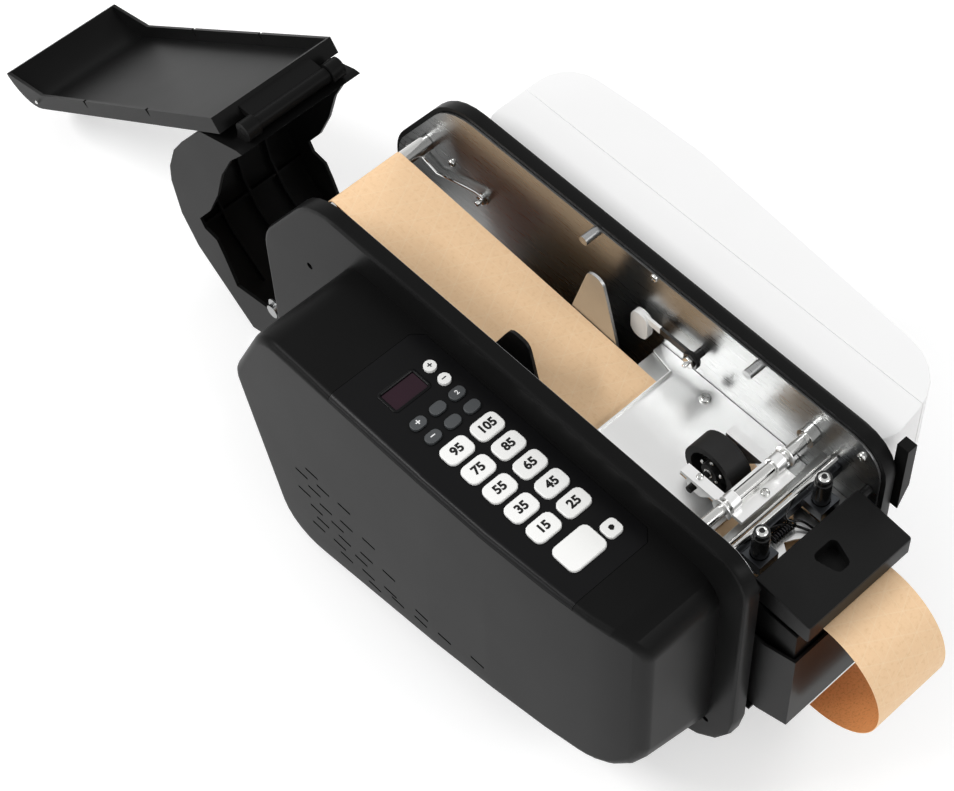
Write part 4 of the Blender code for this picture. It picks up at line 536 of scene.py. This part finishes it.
def clip(name, x):
    """An open spring clip round the cross rod."""
    outline = []
    start, end = math.radians(50), math.radians(310)
    for radius, run in ((7.6, range(0, 21)), (4.1, range(20, -1, -1))):
        for step in run:
            angle = start + (end - start) * step / 20
            outline.append((radius * mm * math.cos(angle), radius * mm * math.sin(angle)))
    mesh = prism(name, outline, -0.5 * mm, 0.5 * mm, 0.2 * mm)
    place = facing((x * mm, *rod_place), (1, 0, 0))
    return piece(name, mesh, bright_nickel, "frame", place)


clip("rod_clip_left", -27.5)
clip("rod_clip_right", 27.5)


# The tape
def tape_line():
    """The tape's middle line from the roll to the free end, as (y, z) points."""
    roll, bar = Vector(roll_centre), Vector(bar_centre)
    outer = roll_radius + tape_thickness / 2 + tape_gap
    wrap = bar_radius + tape_thickness / 2 + tape_gap
    line = bar - roll
    tilt = math.asin((outer - wrap) / line.length)
    normal = math.atan2(line.y, line.x) - math.pi / 2 + tilt
    points = [roll + Vector((math.cos(normal), math.sin(normal))) * outer]
    level = feed_height + tape_thickness / 2 + tape_gap
    last = math.pi / 2 + math.atan2(bar.y + wrap - feed_height, bar.x - feed_start) * 0.9
    for step in range(bar_steps + 1):
        angle = normal + (last - normal) * step / bar_steps
        points.append(bar + Vector((math.cos(angle), math.sin(angle))) * wrap)
    points += [Vector((y, level)) for y in (feed_start, wheel_line, feed_end)]
    points += [Vector(blade_gap), Vector(curl_start)]
    centre = Vector(curl_centre)
    for step in range(1, curl_steps + 1):
        angle = math.pi / 2 + (math.radians(curl_end) - math.pi / 2) * step / curl_steps
        points.append(centre + Vector((math.cos(angle), math.sin(angle))) * curl_radius)
    return points


def tape():
    """The tape as two faces and two cut edges, with metres of tape as its coordinates."""
    line = tape_line()
    bm = bmesh.new()
    uv = bm.loops.layers.uv.new("tape")
    columns = (-tape_half, -tape_half / 3, tape_half / 3, tape_half)
    rows = []
    run = 0.0
    for i, point in enumerate(line):
        before, after = line[max(i - 1, 0)], line[min(i + 1, len(line) - 1)]
        along = (after - before).normalized()
        side = Vector((along.y, -along.x)) * (tape_thickness / 2)
        if i:
            run += (point - line[i - 1]).length
        pair = []
        for sign in (1, -1):
            edge = point + side * sign
            pair.append([bm.verts.new((x, edge.x, edge.y)) for x in columns])
        rows.append((run, pair))
    for (run_a, pair_a), (run_b, pair_b) in zip(rows, rows[1:]):
        for layer in (0, 1):
            for k in range(len(columns) - 1):
                corners = [(pair_a[layer][k], columns[k], run_a),
                           (pair_a[layer][k + 1], columns[k + 1], run_a),
                           (pair_b[layer][k + 1], columns[k + 1], run_b),
                           (pair_b[layer][k], columns[k], run_b)]
                if layer == 0:
                    corners.reverse()
                face = bm.faces.new([c[0] for c in corners])
                face.material_index = layer
                for loop, corner in zip(face.loops, corners):
                    loop[uv].uv = (corner[1], corner[2])
        for k in (0, -1):
            bm.faces.new((pair_a[0][k], pair_a[1][k], pair_b[1][k], pair_b[0][k]))
    for _, pair in (rows[0], rows[-1]):
        for k in range(len(columns) - 1):
            bm.faces.new((pair[0][k], pair[0][k + 1], pair[1][k + 1], pair[1][k]))
    bmesh.ops.recalc_face_normals(bm, faces=bm.faces)
    mesh = bpy.data.meshes.new("tape")
    bm.to_mesh(mesh)
    bm.free()
    smooth(mesh, 40)
    made = piece("paper_tape", mesh, None, "frame")
    mesh.materials.append(kraft_outside)
    mesh.materials.append(kraft_gummed)
    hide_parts("tape_strip")


tape()


# The keys
def figure(name, words, node, size, finish, thick=bold):
    """Printed figures on a key's top, moving with the key."""
    low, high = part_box(node)
    curve = bpy.data.curves.new(name, "FONT")
    curve.body = words
    curve.size = size
    curve.align_x = "CENTER"
    curve.align_y = "CENTER"
    curve.extrude = hair
    curve.offset = thick
    curve.resolution_u = 4
    place = Matrix.Translation(((low.x + high.x) / 2, (low.y + high.y) / 2, high.z + hair))
    return piece(name, curve, finish, node + "_body", place)


for number in (95, 105, 75, 85, 55, 65, 35, 45, 15, 25):
    figure("figure_%d" % number, str(number), "key_%d" % number, 8.6 * mm, black_ink)
figure("sign_plus", "+", "key_plus", 7.0 * mm, black_ink, thick=0.1 * mm)
figure("sign_minus", "−", "key_minus", 7.0 * mm, black_ink, thick=0.1 * mm)
figure("sign_up", "+", "key_up", 7.0 * mm, white_ink, thick=0.1 * mm)
figure("sign_down", "−", "key_down", 7.0 * mm, white_ink, thick=0.1 * mm)
figure("figure_two", "2", "key_double", 4.6 * mm, white_ink, thick=0.12 * mm)


def display_frame():
    """A raised bevelled surround for the display."""
    x, y = display_centre
    wide, deep = display_size
    low, high = display_foot, display_crown
    steps = ((2.6, low), (2.3, high - 0.3 * mm), (1.7, high), (0.9, high), (0.3, high - 0.6 * mm),
             (0.2, low))
    bm = bmesh.new()
    loops = []
    for grow, z in steps:
        outline = rounded(wide + 2 * grow * mm, deep + 2 * grow * mm, (0.8 + grow) * mm)
        loops.append([bm.verts.new((x + u, y + v, z)) for u, v in outline])
    for outer, inner in zip(loops, loops[1:] + loops[:1]):
        count = len(outer)
        for i in range(count):
            j = (i + 1) % count
            bm.faces.new((outer[i], outer[j], inner[j], inner[i]))
    bmesh.ops.recalc_face_normals(bm, faces=bm.faces)
    mesh = bpy.data.meshes.new("display_frame")
    bm.to_mesh(mesh)
    bm.free()
    piece("display_frame", smooth(mesh, 30), panel_film, "frame")


display_frame()


def cut_mark():
    """The cut key's mark: a small dark blade shape."""
    low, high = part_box("key_cut")
    outline = ((-1.7, 1.3), (-1.7, -0.9), (-0.2, -2.1), (1.9, -0.6), (1.9, 1.0), (0.9, 1.9), (-0.6, 2.0))
    mesh = prism("cut_mark", [(x * mm, y * mm) for x, y in outline], 0, 2 * hair)
    place = Matrix.Translation(((low.x + high.x) / 2, (low.y + high.y) / 2, high.z))
    piece("cut_mark", mesh, black_ink, "key_cut_body", place)


cut_mark()


# Feed and cutting parts
def wheel_hub():
    """The pressure wheel's hub: a bright boss and a ring of rivets inside the tyre."""
    low, high = wheel_box
    y, z = (low.y + high.y) / 2, (low.z + high.z) / 2
    boss = turned("wheel_boss", [(r * mm, h * mm) for r, h in
                                 ((3.2, 0), (3.4, 0.3), (3.4, 3.0), (2.9, 3.6), (0.5, 3.9))])
    piece("wheel_boss", boss, turned_nickel, "wheel", facing((hub_face, y, z), inward))
    rivet = turned("rivet", [(r * mm, h * mm) for r, h in ((1.7, -2.0), (1.7, 0.4), (1.2, 1.0), (0.2, 1.2))],
                   20)
    for number in range(rivet_count):
        angle = 2 * math.pi * (number + 0.25) / rivet_count
        spot = (hub_face, y + rivet_circle * math.cos(angle), z + rivet_circle * math.sin(angle))
        piece("wheel_rivet_%d" % number, rivet.copy(), turned_nickel, "wheel",
              facing(spot, inward))


wheel_hub()

# A flat bar and two thin rods between the cross rod and the cutter, held in the side plates.
bar = block("bar", (-rod_reach, *guard_bar_low), (rod_reach, *guard_bar_high), 0.3 * mm)
piece("guard_bar", bar, grey_zinc, "frame")
for name, y, z, radius in (("tie_rod_upper", -188.6, 233.6, 1.7), ("tie_rod_lower", -183.6, 230.2, 1.2)):
    mesh = turned(name, [(radius * mm, 0), (radius * mm, 2 * rod_reach)], 24)
    place = facing((-rod_reach, y * mm, z * mm), (1, 0, 0))
    piece(name, mesh, turned_nickel, "frame", place)

# The cutter's bright web between the posts, its return spring, and two bent spring wires over it.
web_outline = ((-21, -206.5), (-9, -206.5), (-5, -200), (1, -203), (6, -206.5), (21, -206.5),
               (21, -190), (14, -190), (9, -195), (3, -191), (-4, -190), (-9, -194), (-21, -190))
web = prism("web", [(x * mm, y * mm) for x, y in web_outline], web_foot, web_crown, 0.25 * mm)
piece("cutter_web", web, bright_nickel, "cutter")
spring = coil((-12 * mm, -196 * mm, 219.5 * mm), (1, 0, 0), radius=3.1 * mm, pitch=2.1 * mm, turns=9)
wire("cutter_spring", spring, 0.55 * mm, gloss_polyamide, "cutter")
left_leg = ((-46, -190, 221), (-34, -188, 227), (-18, -191, 229), (-4, -193, 225), (6, -198, 219),
            (12, -207, 216))
right_leg = ((14, -208, 217), (10, -200, 222), (3, -194, 226), (9, -190, 229), (24, -187, 226),
             (44, -189, 221))
for name, route, radius in (("spring_leg_left", left_leg, 0.9), ("spring_leg_right", right_leg, 0.8)):
    wire(name, [Vector(p) * mm for p in route], radius * mm, gloss_polyamide, "frame")


def left_tab():
    """The left guide's broad black tab beside the tape, which stands a little proud of the solid one.
    Its outline is drawn as (z, y) and then turned upright."""
    outline = ((-16.5, 201), (-11.6, 221.4), (-6.8, 242.0), (-5.4, 246.0), (-3.0, 248.6), (0.5, 249.6),
               (5.5, 249.8), (9.5, 249.0), (12.6, 246.6), (16.0, 240.5), (34, 205), (34, 201))
    half = tab_thickness / 2
    mesh = prism("left_tab", [(z * mm, y * mm) for y, z in outline][::-1], -half, half, 0.4 * mm)
    place = Matrix(((0, 0, 1, tab_middle), (0, 1, 0, 0), (1, 0, 0, 0), (0, 0, 0, 1)))
    mesh.transform(place)
    mesh.flip_normals()
    piece("guide_tab_left", mesh, powder_coat, "guide_left")


left_tab()


def seam(name, node, cut_at, across, radius, finish, body):
    """The thin ridge where the two halves of a mould met: a wire round the piece in one plane."""
    bm = bmesh.new()
    bm.from_mesh(nodes[node].data)
    bmesh.ops.remove_doubles(bm, verts=bm.verts, dist=weld_distance)
    cut = bmesh.ops.bisect_plane(bm, geom=bm.verts[:] + bm.edges[:] + bm.faces[:], dist=hair / 50,
                                 plane_co=cut_at, plane_no=across, clear_inner=True, clear_outer=True)
    keep = [g for g in cut["geom_cut"] if isinstance(g, bmesh.types.BMEdge)]
    loops = []
    left = set(keep)
    while left:
        edge = left.pop()
        chain = [edge.verts[0], edge.verts[1]]
        while True:
            following = [e for e in chain[-1].link_edges if e in left]
            if not following:
                break
            left.discard(following[0])
            chain.append(following[0].other_vert(chain[-1]))
        loops.append([v.co.copy() for v in chain])
    bm.free()
    outer = max(loops, key=lambda loop: max(p.z for p in loop) - min(p.z for p in loop))
    if (outer[0] - outer[-1]).length < hair:
        outer.pop()
    curve = bpy.data.curves.new(name, "CURVE")
    curve.dimensions = "3D"
    curve.bevel_depth = radius
    curve.bevel_resolution = 1
    spline = curve.splines.new("POLY")
    spline.points.add(len(outer) - 1)
    for point, place in zip(spline.points, outer):
        point.co = (*place, 1.0)
    spline.use_cyclic_u = True
    piece(name, curve, finish, body)


low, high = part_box("water_bottle")
seam("bottle_seam", "water_bottle", ((low.x + high.x) / 2, 0, 0), (1, 0, 0), 0.45 * mm, milky_bottle,
     "bottle")


def lid_pin():
    """The small bright pin in the lid's front corner, which the closed lid latches on."""
    profile = ((1.6, 0), (1.6, 1.6), (1.1, 2.3), (0.3, 2.5))
    mesh = turned("lid_pin", [(r * mm, z * mm) for r, z in profile], 20)
    piece("lid_pin", mesh, turned_nickel, "lid", facing(lid_pin_place, (-1, 0, 0)))


lid_pin()


def brush_shroud():
    """A black box standing in the tank round the wetting brush, open behind and above: painted shade for the
    gap under the heater.
    """
    outline = ((-42.4, -212), (-42.4, -247), (42.4, -247), (42.4, -212),
               (40.6, -212), (40.6, -245.2), (-40.6, -245.2), (-40.6, -212))
    mesh = prism("painted_shade_mesh", [(x * mm, y * mm) for x, y in outline], painted_shade_foot, painted_shade_crown, 0.3 * mm)
    piece("brush_shroud", mesh, powder_coat, "frame")


brush_shroud()


# Floor, light, camera
# Strengths are shares of plain white. The lamps add the highlights.
soft_light = 0.56
white_light = 1.0
floor_glow = 0.36


def floor():
    """A plain white floor. It looks white to the camera and still takes the object's shadow."""
    bm = bmesh.new()
    bmesh.ops.create_grid(bm, x_segments=8, y_segments=8, size=6.0)
    mesh = bpy.data.meshes.new("floor")
    bm.to_mesh(mesh)
    bm.free()
    made = bpy.data.objects.new("floor", mesh)
    bpy.context.scene.collection.objects.link(made)
    made.location.z = cad_box[0][2] - hair
    material = bpy.data.materials.new("floor_paint")
    material.use_nodes = True
    tree = material.node_tree
    tree.nodes.clear()
    rays = add(tree, "LightPath")
    seen = add(tree, "Math", {"operation": "MAXIMUM"}, {0: rays.outputs["Is Camera Ray"],
                                                        1: rays.outputs["Is Glossy Ray"]})
    through = add(tree, "Math", {"operation": "MAXIMUM"}, {0: seen.outputs[0],
                                                           1: rays.outputs["Is Transmission Ray"]})
    place = add(tree, "TexCoord").outputs["Object"]
    cloud = add(tree, "TexNoise", inputs={"Vector": place, "Scale": 2.0})
    tone = add(tree, "MixRGB", inputs={"Fac": cloud.outputs["Fac"], "Color1": linear("#E8E8E8"),
                                       "Color2": linear("#ECECEC")})
    matt = add(tree, "BsdfDiffuse", inputs={"Color": tone.outputs["Color"]})
    glow = add(tree, "Emission", inputs={"Color": linear("#FFFFFF"), "Strength": floor_glow})
    both = add(tree, "AddShader", inputs={0: matt.outputs[0], 1: glow.outputs[0]})
    mixed = add(tree, "MixShader", inputs={0: through.outputs[0], 1: matt.outputs[0],
                                           2: both.outputs[0]})
    add(tree, "OutputMaterial", inputs={"Surface": mixed.outputs[0]})
    mesh.materials.append(material)


floor()

world = bpy.data.worlds.new("studio")
bpy.context.scene.world = world
world.use_nodes = True
tree = world.node_tree
tree.nodes.clear()
rays = add(tree, "LightPath")
# Mirrors see the white surroundings too, and a dimmer studio ceiling overhead.
height = add(tree, "SeparateXYZ", inputs={"Vector": add(tree, "TexCoord").outputs["Generated"]})
ceiling = add(tree, "MapRange", inputs={"Value": height.outputs["Z"], "From Min": 0.35, "From Max": 0.8,
                                        "To Min": 1.0, "To Max": 0.75})
mirrored = add(tree, "Math", {"operation": "MAXIMUM"}, {0: rays.outputs["Is Glossy Ray"],
                                                        1: rays.outputs["Is Transmission Ray"]})
soft = add(tree, "Background", inputs={"Color": linear("#FFFFFF"), "Strength": soft_light})
shown = add(tree, "Background", inputs={"Color": linear("#FFFFFF"), "Strength": white_light})
around = add(tree, "Background", inputs={"Color": linear("#FFFFFF"), "Strength": ceiling.outputs["Result"]})
seen = add(tree, "MixShader", inputs={0: rays.outputs["Is Camera Ray"], 1: soft.outputs[0],
                                      2: shown.outputs[0]})
mixed = add(tree, "MixShader", inputs={0: mirrored.outputs[0], 1: seen.outputs[0],
                                       2: around.outputs[0]})
add(tree, "OutputWorld", inputs={"Surface": mixed.outputs[0]})


def lamp(name, place, aim, width, height, watts):
    """A rectangular softbox turned to its aim."""
    light = bpy.data.lights.new(name, "AREA")
    light.shape = "RECTANGLE"
    light.size = width
    light.size_y = height
    light.energy = watts
    made = bpy.data.objects.new(name, light)
    bpy.context.scene.collection.objects.link(made)
    made.location = place
    made.rotation_euler = (Vector(aim) - Vector(place)).to_track_quat("-Z", "Y").to_euler()


# Every lamp is aimed at the middle of the machine.
aim = (0, 0, 0.15)
lamp("key_box", (-1.5, 1.25, 2.1), aim, width=1.3, height=0.16, watts=33)
lamp("rim_box", (-1.9, 0.8, 0.75), aim, width=1.4, height=0.12, watts=9)
lamp("back_box", (2.2, 0.4, 1.6), aim, width=0.9, height=0.9, watts=15)
lamp("front_box", (0.4, -2.0, 1.5), aim, width=0.9, height=0.7, watts=12)

# The photographed view: the camera stands to the front left and looks down.
camera_place = (-0.62205, -0.6559, 1.48704)
camera_data = bpy.data.cameras.new("camera")
camera_data.lens = 92.32
camera_data.sensor_width = 36
camera_data.shift_x = -0.108
camera_data.clip_end = 50
camera = bpy.data.objects.new("camera", camera_data)
bpy.context.scene.collection.objects.link(camera)
right = Vector((0.71818, -0.69585, 0.00221))
up = Vector((0.57483, 0.59506, 0.56167))
back = Vector((-0.39215, -0.40211, 0.82736))
turn = Matrix((right, up, back)).transposed().to_4x4()
camera.matrix_world = Matrix.Translation(camera_place) @ turn
bpy.context.scene.camera = camera
bpy.context.scene.view_settings.view_transform = "Standard"
